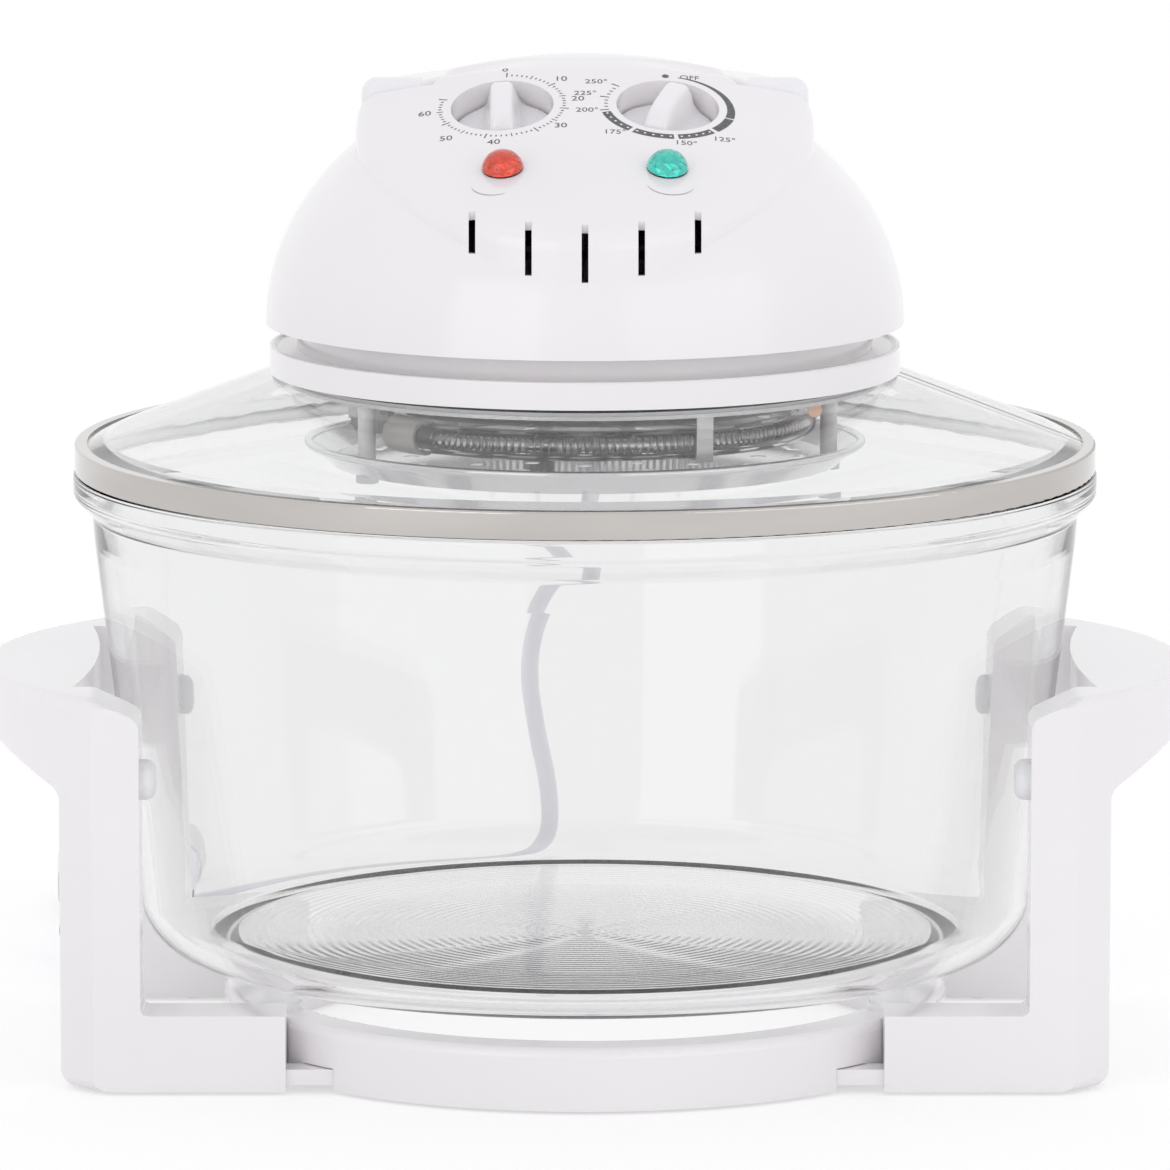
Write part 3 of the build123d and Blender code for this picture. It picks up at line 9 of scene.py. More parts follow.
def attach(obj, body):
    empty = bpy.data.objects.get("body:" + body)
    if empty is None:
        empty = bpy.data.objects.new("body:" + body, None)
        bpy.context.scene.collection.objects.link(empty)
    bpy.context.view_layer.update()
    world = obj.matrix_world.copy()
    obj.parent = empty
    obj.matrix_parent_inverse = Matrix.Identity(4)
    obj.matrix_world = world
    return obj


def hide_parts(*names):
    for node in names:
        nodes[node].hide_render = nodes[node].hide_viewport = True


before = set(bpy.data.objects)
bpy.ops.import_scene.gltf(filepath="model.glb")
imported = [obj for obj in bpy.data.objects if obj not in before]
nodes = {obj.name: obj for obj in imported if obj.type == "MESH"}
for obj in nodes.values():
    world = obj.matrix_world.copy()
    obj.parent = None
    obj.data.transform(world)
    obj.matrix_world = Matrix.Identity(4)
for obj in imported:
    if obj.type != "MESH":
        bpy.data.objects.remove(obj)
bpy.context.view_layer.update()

# Metres, in the part's own frame: +Z up, the dials face -Y, the table is z = 0.
MM = 0.001
collection = bpy.context.scene.collection

# ------------------------------------------------------------------ camera
PHOTO_PIXELS = 1170
FOCAL_PIXELS = 9360
CAMERA_AWAY = 3.0
CAMERA_HEIGHT = 0.6117
CAMERA_PITCH = 8.74  # degrees below level

camera_data = bpy.data.cameras.new("camera")
camera_data.sensor_width = 36.0
camera_data.lens = camera_data.sensor_width * FOCAL_PIXELS / PHOTO_PIXELS
camera_data.clip_end = 50.0
camera = bpy.data.objects.new("camera", camera_data)
camera.location = (0, -CAMERA_AWAY, CAMERA_HEIGHT)
camera.rotation_euler = (math.radians(90 - CAMERA_PITCH), 0, 0)
collection.objects.link(camera)
bpy.context.scene.camera = camera
bpy.context.scene.view_settings.view_transform = "Standard"


# ------------------------------------------------------------------ small helpers
def new_piece(name, mesh, material):
    """An object for a finished mesh, with its material."""
    piece = bpy.data.objects.new(name, mesh)
    collection.objects.link(piece)
    mesh.materials.clear()
    mesh.materials.append(material)
    return piece


def smooth(mesh, angle):
    """Smooth shading with sharp edges kept."""
    for face in mesh.polygons:
        face.use_smooth = True
    mesh.set_sharp_from_angle(angle=math.radians(angle))


def mesh_of(name, build):
    """A mesh made by a bmesh function."""
    mesh = bpy.data.meshes.new(name)
    work = bmesh.new()
    build(work)
    work.to_mesh(mesh)
    work.free()
    return mesh


def lathe(name, outline, steps):
    """A mesh turned about Z from its (radius, height) outline in millimetres.
    A point on the axis becomes one vertex."""

    def build(work):
        rings = []
        for radius, height in outline:
            if radius < 1e-6:
                rings.append([work.verts.new((0, 0, height * MM))])
                continue
            rings.append(
                [
                    work.verts.new(
                        (
                            radius * MM * math.cos(2 * math.pi * step / steps),
                            radius * MM * math.sin(2 * math.pi * step / steps),
                            height * MM,
                        )
                    )
                    for step in range(steps)
                ]
            )
        for low, high in zip(rings, rings[1:]):
            for step in range(steps):
                after = (step + 1) % steps
                if len(low) == 1:
                    work.faces.new((low[0], high[after], high[step]))
                elif len(high) == 1:
                    work.faces.new((low[step], low[after], high[0]))
                else:
                    work.faces.new((low[step], low[after], high[after], high[step]))
        bmesh.ops.recalc_face_normals(work, faces=work.faces)

    return mesh_of(name, build)


def rounded(outline, radii, steps):
    """The outline with its corners replaced by arcs of these radii."""
    points = []
    count = len(outline)
    for index, (corner, radius) in enumerate(zip(outline, radii)):
        before = Vector(outline[index - 1])
        after = Vector(outline[(index + 1) % count])
        corner = Vector(corner)
        if not radius:
            points.append(tuple(corner))
            continue
        into = (before - corner).normalized()
        out = (after - corner).normalized()
        half = into.angle(out) / 2
        reach = radius / math.tan(half)
        middle = corner + (into + out).normalized() * radius / math.sin(half)
        start = corner + into * reach - middle
        end = corner + out * reach - middle
        sweep = start.angle_signed(end)
        for step in range(steps + 1):
            turn = Matrix.Rotation(-sweep * step / steps, 2)
            points.append(tuple(middle + turn @ start))
    return points


# ------------------------------------------------------------------ materials
def material(name, color, roughness, metallic=0.0, **sockets):
    """A Principled material; sockets are set by their names with underscores for spaces."""
    made = bpy.data.materials.new(name)
    made.use_nodes = True
    shader = made.node_tree.nodes["Principled BSDF"]
    shader.inputs["Base Color"].default_value = (*color, 1.0)
    shader.inputs["Roughness"].default_value = roughness
    shader.inputs["Metallic"].default_value = metallic
    for socket, value in sockets.items():
        shader.inputs[socket.replace("_", " ")].default_value = value
    return made


def shader_of(made):
    return made.node_tree.nodes["Principled BSDF"]


def add_noise(made, scale, detail=3.0, stretch=(1, 1, 1)):
    """A noise texture on the object's own coordinates."""
    tree = made.node_tree
    place = tree.nodes.new("ShaderNodeTexCoord")
    mapping = tree.nodes.new("ShaderNodeMapping")
    mapping.inputs["Scale"].default_value = stretch
    noise = tree.nodes.new("ShaderNodeTexNoise")
    noise.inputs["Scale"].default_value = scale
    noise.inputs["Detail"].default_value = detail
    tree.links.new(place.outputs["Object"], mapping.inputs["Vector"])
    tree.links.new(mapping.outputs["Vector"], noise.inputs["Vector"])
    return noise


def vary_color(made, noise, low, high):
    """The base colour runs between two colours by the noise."""
    tree = made.node_tree
    ramp = tree.nodes.new("ShaderNodeValToRGB")
    ramp.color_ramp.elements[0].position = 0.3
    ramp.color_ramp.elements[1].position = 0.7
    ramp.color_ramp.elements[0].color = (*low, 1)
    ramp.color_ramp.elements[1].color = (*high, 1)
    tree.links.new(noise.outputs["Fac"], ramp.inputs["Fac"])
    tree.links.new(ramp.outputs["Color"], shader_of(made).inputs["Base Color"])


def vary_roughness(made, noise, low, high):
    """The roughness runs between two values by the noise."""
    tree = made.node_tree
    spread = tree.nodes.new("ShaderNodeMapRange")
    spread.inputs["To Min"].default_value = low
    spread.inputs["To Max"].default_value = high
    tree.links.new(noise.outputs["Fac"], spread.inputs["Value"])
    tree.links.new(spread.outputs["Result"], shader_of(made).inputs["Roughness"])


def add_bump(made, noise, strength, distance):
    """The noise as a fine relief; the distance is in metres."""
    tree = made.node_tree
    bump = tree.nodes.new("ShaderNodeBump")
    bump.inputs["Strength"].default_value = strength
    bump.inputs["Distance"].default_value = distance
    tree.links.new(noise.outputs["Fac"], bump.inputs["Height"])
    tree.links.new(bump.outputs["Normal"], shader_of(made).inputs["Normal"])


def moulded(name, color, roughness=0.16, shade=0.965, coat=0.3):
    """Glossy moulded plastic: a faint cloudiness in its colour and gloss, and slight sink ripples."""
    made = material(name, color, roughness, Coat_Weight=coat, Coat_Roughness=0.06)
    cloud = add_noise(made, 9.0)
    vary_color(made, cloud, tuple(c * shade for c in color), color)
    vary_roughness(made, cloud, roughness * 0.8, roughness * 1.25)
    add_bump(made, add_noise(made, 26.0, 2.0), 0.08, 0.0004)
    return made


def soft_rubber(name, color, roughness=0.55):
    """A matt, finely grained material without coat."""
    made = material(name, color, roughness)
    grain = add_noise(made, 900.0)
    vary_color(made, add_noise(made, 30.0), tuple(c * 0.93 for c in color), color)
    add_bump(made, grain, 0.15, 0.0001)
    return made


def sheet_metal(name, color, roughness=0.22, stretch=(1, 1, 1), scale=60.0, bump=0.05):
    """Bright sheet with rolling marks along the stretch."""
    made = material(name, color, roughness, 1.0)
    marks = add_noise(made, scale, 4.0, stretch)
    vary_color(made, marks, tuple(c * 0.86 for c in color), color)
    vary_roughness(made, marks, roughness * 0.7, roughness * 1.4)
    add_bump(made, marks, bump, 0.0002)
    return made


GLASS_IOR = 1.47


def clear_glass(name, color, density, body=(0.985, 0.99, 0.987)):
    """Clear glass: the tint is in its depth, with faint waviness on its faces."""
    made = material(name, body, 0.0, IOR=GLASS_IOR, Transmission_Weight=1.0)
    tree = made.node_tree
    depth = tree.nodes.new("ShaderNodeVolumeAbsorption")
    depth.inputs["Color"].default_value = (*color, 1.0)
    depth.inputs["Density"].default_value = density
    tree.links.new(depth.outputs["Volume"], tree.nodes["Material Output"].inputs["Volume"])
    add_bump(made, add_noise(made, 14.0, 2.0), 0.05, 0.0006)
    return made


def dress(made, *names):
    """Puts a material on carried-over nodes."""
    for name in names:
        piece = nodes[name]
        piece.data.materials.clear()
        piece.data.materials.append(made)


WHITE = (0.9, 0.88, 0.89)
white_plastic = moulded("white plastic", WHITE)
knob_plastic = moulded("knob plastic", (0.9, 0.885, 0.9), 0.2)
handle_plastic = moulded("handle plastic", (0.9, 0.89, 0.905))
foot_rubber = soft_rubber("foot rubber", (0.55, 0.55, 0.57))
pad_silicone = soft_rubber("pad silicone", (0.88, 0.89, 0.9), 0.35)
seal_rubber = soft_rubber("seal rubber", (0.74, 0.75, 0.74), 0.4)
screw_steel = sheet_metal("screw steel", (0.6, 0.6, 0.62), 0.3)
plate_steel = sheet_metal("plate steel", (0.62, 0.62, 0.62), 0.25, scale=25.0)
rim_steel = sheet_metal("rim steel", (0.58, 0.555, 0.53), 0.04, (1, 1, 5), 9.0, 0.0)
tray_steel = sheet_metal("tray steel", (0.7, 0.7, 0.71), 0.1, scale=18.0)
sleeve_ceramic = moulded("sleeve ceramic", (0.9, 0.9, 0.9), 0.3)
fan_steel = sheet_metal("fan steel", (0.62, 0.62, 0.63), 0.3, scale=30.0)
motor_steel = sheet_metal("motor steel", (0.3, 0.3, 0.32), 0.4, (1, 1, 40), 60.0, 0.4)
winding = sheet_metal("winding", (0.55, 0.25, 0.12), 0.3, (1, 1, 30), 90.0, 0.5)
brass = sheet_metal("brass", (0.7, 0.55, 0.28), 0.3)
pin_brass = sheet_metal("pin brass", (0.72, 0.68, 0.55), 0.22)
copper = sheet_metal("copper", (0.75, 0.4, 0.25), 0.3)
dark_plastic = moulded("dark plastic", (0.035, 0.035, 0.04), 0.45, 0.8, 0.0)
terminal_plastic = moulded("terminal plastic", (0.75, 0.74, 0.68), 0.4, 0.95, 0.0)
ceramic = soft_rubber("ceramic", (0.72, 0.7, 0.66), 0.7)
cord_sheath = soft_rubber("cord sheath", (0.93, 0.93, 0.98), 0.42)
relief_plastic = soft_rubber("relief plastic", (0.8, 0.8, 0.83), 0.45)
plug_plastic = moulded("plug plastic", (0.82, 0.82, 0.83), 0.3)
bowl_glass = clear_glass("bowl glass", (0.58, 0.62, 0.58), 5.0, (0.93, 0.93, 0.927))
lid_glass = clear_glass("lid glass", (0.58, 0.64, 0.6), 7.0, (0.94, 0.942, 0.94))
quartz = clear_glass("quartz", (0.9, 0.9, 0.9), 2.0)

dress(white_plastic, "base_ring", "right_handle_frame", "left_handle_frame")
dress(white_plastic, "collar_ring", "head_base")
dress(handle_plastic, "carry_handle")
dress(knob_plastic, "safety_button")
dress(foot_rubber, "rubber_feet")
dress(pad_silicone, "bowl_pegs", "side_pads")
dress(seal_rubber, "lid_seal", "clamp_gasket")
dress(screw_steel, "ring_screws", "clamp_screws", "head_screws", "handle_pins")
dress(screw_steel, "guard_nuts", "guard_rods")
dress(plate_steel, "mount_plate", "fan_guard", "heater_clips", "heater_leads")
dress(rim_steel, "lid_rim_band")
dress(tray_steel, "guard_tray")
dress(sleeve_ceramic, "guard_sleeves")
dress(fan_steel, "convection_fan")
dress(motor_steel, "motor_stator", "motor_straps", "rotor")
dress(winding, "motor_coil")
dress(brass, "timer_spindle", "thermostat_spindle")
dress(copper, "thermostat_bulb")
dress(dark_plastic, "timer_unit", "thermostat_unit", "safety_switch", "cooling_fan")
dress(terminal_plastic, "terminal_block")
dress(ceramic, "heater_caps")
dress(quartz, "heater_tube")
dress(cord_sheath, "supply_lead")
dress(relief_plastic, "strain_relief")
dress(plug_plastic, "plug_body")
dress(pin_brass, "plug_pins")
dress(lid_glass, "lid_glass")

# ------------------------------------------------------------------ cord
CORD_R = 3.1
cord_route = (
    (0.0, 130.0, 252.0),
    (0.0, 151.5, 252.0),
    (1.5, 171.5, 241.5),
    (3.0, 183.5, 220.5),
    (4.0, 186.5, 196.0),
    (3.6, 185.2, 171.5),
    (1.8, 184.6, 148.0),
    (-5.5, 183.5, 126.5),
    (-16.5, 182.8, 110.0),
    (-20.5, 182.0, 91.0),
    (-17.2, 181.4, 71.5),
    (-12.6, 180.6, 51.0),
    (-12.2, 181.2, 34.5),
    (-17.5, 183.8, 19.5),
    (-28.0, 188.6, 8.8),
    (-42.5, 193.6, 3.6),
    (-60.0, 196.4, 3.2),
    (-78.0, 194.0, 3.3),
    (-95.5, 187.4, 3.2),
    (-112.5, 179.6, 3.3),
    (-129.2, 175.0, 3.2),
    (-146.1, 174.0, 3.2),
)


def nurbs_cord(name, points, radius, made):
    """A round cord along one smooth NURBS curve."""
    curve = bpy.data.curves.new(name, "CURVE")
    curve.dimensions = "3D"
    spline = curve.splines.new("NURBS")
    spline.points.add(len(points) - 1)
    for point, place in zip(spline.points, points):
        point.co = (*(value * MM for value in place), 1.0)
    spline.order_u = 3
    spline.use_endpoint_u = True
    spline.resolution_u = 12
    curve.bevel_depth = radius * MM
    curve.bevel_resolution = 6
    curve.use_fill_caps = True
    curve.materials.append(made)
    piece = bpy.data.objects.new(name, curve)
    collection.objects.link(piece)
    return piece


# The rest of the cord is folded into a tied hank on the table, behind the left frame.
HANK_MIDDLE = (-162.0, 145.0)
HANK_TURN = 3.3  # degrees away from straight back
HANK_LOOP_R = 14.8
HANK_LOOP_AT = 30.5  # the end loops' centres, from the hank's middle
HANK_ENTRY = 28.0
GATHER = 13.2  # half the width between the runs, where the tie draws them in
HANK_END = 49.0
LAYER = 6.4
LOW_LAYER = 3.2
FAR_LAYER = 17.4  # the far loops lie over the run that leads to the plug
PLUG_AXIS = 11.0
LOOP_ANGLES = (0, 36, 72, 108, 144, 180)


def hank_place(across, along, height):
    """A point of the hank, from its own middle."""
    turn = math.radians(HANK_TURN)
    return (
        HANK_MIDDLE[0] + across * math.cos(turn) - along * math.sin(turn),
        HANK_MIDDLE[1] + across * math.sin(turn) + along * math.cos(turn),
        height,
    )


def hank_loop(end, low, high):
    """One end loop's points, counter-clockwise from above, rising evenly."""
    points = []
    for angle in LOOP_ANGLES:
        turn = math.radians(angle)
        share = angle / 180
        points.append(
            hank_place(
                end * HANK_LOOP_R * math.cos(turn),
                end * (HANK_LOOP_AT + HANK_LOOP_R * math.sin(turn)),
                low + (high - low) * share,
            )
        )
    return points


def hank_route():
    """In across the hank, round it, and out through its middle to the plug."""
    points = [hank_place(4.0, HANK_ENTRY, LOW_LAYER), hank_place(-9.0, 26.0, LOW_LAYER)]
    points += [hank_place(-14.4, 15.0, LOW_LAYER), hank_place(-13.6, -8.0, LOW_LAYER)]
    for lap in range(2):
        near = LOW_LAYER + LAYER * lap
        far = FAR_LAYER + LAYER * lap
        points += hank_loop(-1, near, near)
        points += [hank_place(GATHER, -8.0, near + 4.5), hank_place(GATHER, 12.0, far - 4.5)]
        points += hank_loop(1, far, far)
        points += [hank_place(-GATHER, 12.0, near + LAYER + 1.5)]
        points += [hank_place(-GATHER, -8.0, near + LAYER)]
    last = LOW_LAYER + 2 * LAYER
    points += hank_loop(-1, last, last)
    points += [hank_place(14.0, -18.0, last), hank_place(7.0, -2.0, last - 1.0)]
    points += [hank_place(1.0, 15.0, 12.6), hank_place(0, 33.0, PLUG_AXIS)]
    points.append(hank_place(0, HANK_END, PLUG_AXIS))
    return points


power_cord = nurbs_cord("cord", cord_route + tuple(hank_route()), CORD_R, cord_sheath)
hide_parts("power_cord", "cord_hank")
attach(power_cord, "lid")

# A strap is tied round the hank's middle, on a ring with full corners.
TIE_HALF_WIDTH = 16.8
TIE_HALF_HEIGHT = 8.6
TIE_ALONG = -3.0
TIE_MIDDLE_Z = 9.6
TIE_HALF_BAND = 2.6
TIE_THICK = 0.9
TIE_STEPS = 24


def full_corner(value):
    """Bends a circle's cosine or sine towards a square."""
    return math.copysign(abs(value) ** 0.5, value)


tie_ring = []
for step in range(TIE_STEPS):
    turn = 2 * math.pi * step / TIE_STEPS
    across = full_corner(math.cos(turn)) * TIE_HALF_WIDTH
    height = TIE_MIDDLE_Z + full_corner(math.sin(turn)) * TIE_HALF_HEIGHT
    tie_ring.append(hank_place(across, TIE_ALONG, height))


def tie_band(work):
    """A flat strap that follows the ring of points."""
    turn = math.radians(HANK_TURN)
    along = Vector((-math.sin(turn), math.cos(turn), 0)) * TIE_HALF_BAND
    middle = Vector(hank_place(0, TIE_ALONG, TIE_MIDDLE_Z))
    corners = ((-1, 0), (1, 0), (1, 1), (-1, 1))
    loops = []
    for point in tie_ring:
        point = Vector(point)
        out = (point - middle).normalized() * TIE_THICK
        loops.append([work.verts.new((point + a * along + b * out) * MM) for a, b in corners])
    for here, there in zip(loops, loops[1:] + loops[:1]):
        for corner in range(4):
            after = (corner + 1) % 4
            work.faces.new((here[corner], here[after], there[after], there[corner]))
    bmesh.ops.recalc_face_normals(work, faces=work.faces)


tie_black = soft_rubber("tie black", (0.03, 0.03, 0.035), 0.5)
cord_tie = new_piece("cord_tie", mesh_of("cord_tie", tie_band), tie_black)
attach(cord_tie, "lid")

# ------------------------------------------------------------------ bowl
BOWL_FLOOR = 37.5
RIPPLE_PITCH = 3.3
RIPPLE_OUT = 112.2
RIPPLE_DEPTH = 0.04
RIPPLE_STEPS = 6
BOWL_STEPS = 200
CORNER_STEPS = 10
RING_GROOVE = 0.9
bowl_outline = rounded(
    (
        (0, 32.5),
        (142.7, 32.5),
        (158.6, 166.0),
        (159.4, 176.0),
        (165.4, 182.0),
        (165.4, 189.0),
        (160.4, 189.0),
        (160.2, 183.0),
        (154.8, 176.5),
        (138.3, BOWL_FLOOR),
        (0, BOWL_FLOOR),
    ),
    (0, 20.0, 12.0, 3.0, 3.0, 1.2, 1.2, 3.0, 3.0, 15.0, 0),
    CORNER_STEPS,
)
groove_floor = BOWL_FLOOR - RING_GROOVE
inside = [(118.5, BOWL_FLOOR), (117.2, groove_floor), (114.6, groove_floor), (113.6, BOWL_FLOOR)]
for step in range(int(RIPPLE_OUT / RIPPLE_PITCH) * RIPPLE_STEPS):
    radius = RIPPLE_OUT - step * RIPPLE_PITCH / RIPPLE_STEPS
    wave = (1 - math.cos(2 * math.pi * step / RIPPLE_STEPS)) / 2
    inside.append((radius, BOWL_FLOOR - RIPPLE_DEPTH * wave))
bowl_outline[-1:-1] = inside
bowl = new_piece("bowl", lathe("bowl", bowl_outline, BOWL_STEPS), bowl_glass)
smooth(bowl.data, 50)
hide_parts("glass_bowl")
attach(bowl, "bowl")

# ------------------------------------------------------------------ heater filament
FILAMENT_RING = 70.0
FILAMENT_Z = 203.6
FILAMENT_START = 228.0
FILAMENT_SWEEP = 293.0
FILAMENT_TURNS = 150
FILAMENT_R = 2.5
FILAMENT_WIRE_R = 0.38
TURN_POINTS = 12
filament_curve = bpy.data.curves.new("filament", "CURVE")
filament_curve.dimensions = "3D"
filament_curve.bevel_depth = FILAMENT_WIRE_R * MM
filament_curve.bevel_resolution = 1
wire = filament_curve.splines.new("POLY")
count = FILAMENT_TURNS * TURN_POINTS
wire.points.add(count)
for step in range(count + 1):
    turn = math.radians(FILAMENT_START + FILAMENT_SWEEP * step / count)
    wind = 2 * math.pi * step / TURN_POINTS
    radius = FILAMENT_RING + FILAMENT_R * math.cos(wind)
    wire.points[step].co = (
        radius * math.cos(turn) * MM,
        radius * math.sin(turn) * MM,
        (FILAMENT_Z + FILAMENT_R * math.sin(wind)) * MM,
        1,
    )
tungsten = sheet_metal("tungsten", (0.52, 0.51, 0.5), 0.3)
filament = bpy.data.objects.new("filament", filament_curve)
collection.objects.link(filament)
filament_curve.materials.append(tungsten)
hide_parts("heater_filament")
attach(filament, "lid")

# ------------------------------------------------------------------ the panel's own surface
PANEL_TILT = math.radians(22.9)
PANEL_CROWN = 400.0
UP_SLOPE = Vector((0, math.cos(PANEL_TILT), math.sin(PANEL_TILT)))
PANEL_NORMAL = Vector((0, -math.sin(PANEL_TILT), math.cos(PANEL_TILT)))
CROWN_CENTRE = Vector((0, 12.0, 323.0)) - PANEL_NORMAL * PANEL_CROWN
DIAL_X = 26.5
DIAL_SLOPE = 34.9
LAMP_X = 26.0
LAMP_SLOPE = 76.4

# The cover's top edge behind the dials is drawn down into a long arch.
ARCH_MIDDLE_DROP = 2.1
ARCH_END_DROP = 5.1
ARCH_HALF = 43.0
ARCH_LIMIT = 45.0
ARCH_Y = (0.5, 15.0)
ARCH_Z = (299.0, 314.0)


def ease(value, low, high):
    """Smooth 0 to 1 between low and high."""
    share = min(1.0, max(0.0, (value - low) / (high - low)))
    return share * share * (3 - 2 * share)


def arch_drop(x, y, z):
    """How far a point of the cover comes down, in millimetres."""
    out = min(abs(x), ARCH_LIMIT) / ARCH_HALF
    return (ARCH_MIDDLE_DROP + ARCH_END_DROP * out**2) * ease(y, *ARCH_Y) * ease(z, *ARCH_Z)


def panel_out(x):
    """The way the crowned panel faces at this x."""
    lean = math.asin(x / PANEL_CROWN)
    return Vector((math.sin(lean), 0, 0)) + PANEL_NORMAL * math.cos(lean)


def panel_point(x, down, lift=0.0):
    """The place on the crowned panel, in metres, lifted off it by millimetres."""
    place = CROWN_CENTRE + panel_out(x) * (PANEL_CROWN + lift) - UP_SLOPE * down
    place.z -= arch_drop(*place)
    return place * MM


def panel_frame(x, down):
    """The matrix that puts a piece made about +Z square on the panel."""
    out = panel_out(x)
    across = UP_SLOPE.cross(out)
    turn = Matrix((across, UP_SLOPE, out)).transposed().to_4x4()
    return Matrix.Translation(panel_point(x, down)) @ turn


# ------------------------------------------------------------------ indicator lamps
LENS_OUTLINE = (
    (5.2, 0.05),
    (6.6, 0.05),
    (6.7, 0.5),
    (6.5, 1.4),
    (6.1, 2.5),
    (5.4, 3.6),
    (4.5, 4.6),
    (3.2, 5.4),
    (1.6, 5.85),
    (0, 6.0),
)
LENS_STEPS = 48
GEM_R = 5.6
GEM_TOP = 4.5
GEM_SIDES = 12
GEM_ROWS = ((1.06, 0.3, 0), (0.92, 2.0, 0.5), (0.64, 3.4, 0), (0.34, 4.2, 0.5))  # share, height, turn


def gem(work):
    """A faceted crown of flat triangles, as moulded inside a lamp's lens."""
    rings = []
    for share, height, offset in GEM_ROWS:
        ring = []
        for step in range(GEM_SIDES):
            turn = 2 * math.pi * (step + offset) / GEM_SIDES
            reach = GEM_R * share * MM
            ring.append(work.verts.new((reach * math.cos(turn), reach * math.sin(turn), height * MM)))
        rings.append(ring)
    tip = work.verts.new((0, 0, GEM_TOP * MM))
    for low, high in zip(rings, rings[1:]):
        for step in range(GEM_SIDES):
            after = (step + 1) % GEM_SIDES
            work.faces.new((low[step], low[after], high[step]))
            work.faces.new((low[after], high[after], high[step]))
    for step in range(GEM_SIDES):
        work.faces.new((rings[-1][step], rings[-1][(step + 1) % GEM_SIDES], tip))
    bmesh.ops.recalc_face_normals(work, faces=work.faces)


def lens_material(name, color):
    """Tinted clear plastic."""
    made = material(name, color, 0.03, IOR=1.45, Transmission_Weight=1.0, Coat_Weight=0.5)
    vary_color(made, add_noise(made, 260.0), tuple(c * 0.9 for c in color), color)
    add_bump(made, add_noise(made, 500.0), 0.15, 0.0002)
    return made


def lamp(name, side, node, slot, color, glow):
    """A faceted core under a clear domed lens, in a thin collar."""
    place = panel_frame(side * LAMP_X, LAMP_SLOPE)
    lens = lathe(name + "_lens", LENS_OUTLINE, LENS_STEPS)
    smooth(lens, 60)
    core = mesh_of(name + "_core", gem)
    lens_color = lens_material(name + " lens", color)
    core_color = material(name + " core", glow, 0.12, 0.85)
    vary_color(core_color, add_noise(core_color, 420.0), tuple(c * 0.7 for c in glow), glow)
    for part, mesh, dressed in (("lens", lens, lens_color), ("core", core, core_color)):
        mesh.transform(place)
        piece = new_piece(name + "_" + part, mesh, dressed)
        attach(piece, "lid")
        if part == "lens":
            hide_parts(node)


lamp("red_lamp", -1, "power_lamp", "lens_red", (0.93, 0.2, 0.13), (0.95, 0.4, 0.3))
lamp("green_lamp", 1, "heat_lamp", "lens_green", (0.16, 0.78, 0.7), (0.35, 0.92, 0.86))

# ------------------------------------------------------------------ dial knobs
WING_STEPS = (0, 1.5, 2.5, 3.2, 3.7, 4.1, 4.5, 5.0, 5.6, 6.4, 7.5, 9.2, 12.0, 15.7)
KNOB_R = 15.7
KNOB_BASE = -13.0
KNOB_DISC = 5.0
WING_RISE = 12.3
WING_HALF_LENGTH = 15.2
WING_HALF_WIDTH = 4.6
WING_END_POWER = 4
WING_SIDE_POWER = 7
KNOB_EDGE_ROUND = 0.8
KNOB_EDGE_FALL = 0.5
KNOB_ROWS = 56
KNOB_WELD = 0.00002  # metres
# Degrees from straight up the panel, below zero clockwise from the front. The solid's wing is
# turned 48 degrees the other way, so this wing misses its marks at the joint's limits.
THERMOSTAT_TURN = -18


def knob_height(across, along):
    """The disc's top with the wing's arch rising from it in a soft flare."""
    reach = min(1.0, abs(along) / WING_HALF_LENGTH)
    arch = (1 - reach**WING_END_POWER) ** 0.5
    flare = 1 / (1 + (abs(across) / WING_HALF_WIDTH) ** WING_SIDE_POWER)
    edge = max(0.0, math.hypot(across, along) - KNOB_R + KNOB_EDGE_ROUND)
    return KNOB_DISC + WING_RISE * arch * flare - KNOB_EDGE_FALL * edge**2


def knob(name, side, turn_deg, node):
    """A dial knob with its wing, square in its well."""
    last = len(WING_STEPS) - 1

    def build(work):
        rows = []
        for row in range(KNOB_ROWS + 1):
            along = -KNOB_R * math.cos(math.pi * row / KNOB_ROWS)
            half = math.sqrt(max(KNOB_R**2 - along**2, 1e-4))
            across = []
            for index, step in enumerate(WING_STEPS):
                across.append(min(step, half * index / last) if half < step else step)
            across[-1] = half
            line = []
            for u in [-value for value in reversed(across[1:])] + across:
                height = KNOB_BASE + knob_height(u, along)
                line.append(work.verts.new((u * MM, along * MM, height * MM)))
            rows.append(line)
        for here, there in zip(rows, rows[1:]):
            for index in range(len(here) - 1):
                work.faces.new((here[index], here[index + 1], there[index + 1], there[index]))
        rim = [edge for edge in work.edges if edge.is_boundary]
        made = bmesh.ops.extrude_edge_only(work, edges=rim)
        for vertex in made["geom"]:
            if isinstance(vertex, bmesh.types.BMVert):
                vertex.co.z = KNOB_BASE * MM
        bmesh.ops.remove_doubles(work, verts=work.verts, dist=KNOB_WELD)
        bmesh.ops.recalc_face_normals(work, faces=work.faces)

    mesh = mesh_of(name, build)
    turned = Matrix.Rotation(math.radians(turn_deg), 4, "Z")
    mesh.transform(panel_frame(side * DIAL_X, DIAL_SLOPE) @ turned)
    smooth(mesh, 60)
    piece = new_piece(name, mesh, knob_plastic)
    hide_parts(node)
    return piece


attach(knob("timer_dial_knob", -1, 0, "timer_knob"), "timer_dial")
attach(knob("thermostat_dial_knob", 1, THERMOSTAT_TURN, "thermostat_knob"), "thermostat_dial")

# ------------------------------------------------------------------ head cover
# The copy is cut into strips along these planes, in millimetres, so that it can bend.
CUT_YS = range(0, 34, 2)
CUT_XS = range(-66, 67, 6)
CUT_SNAP = 0.00001  # metres
SLOPE_STEP = 0.05
LOOK_IN = 0.03  # a corner's normal is looked up this share of the way into its face
LEAST_STRETCH = 0.2


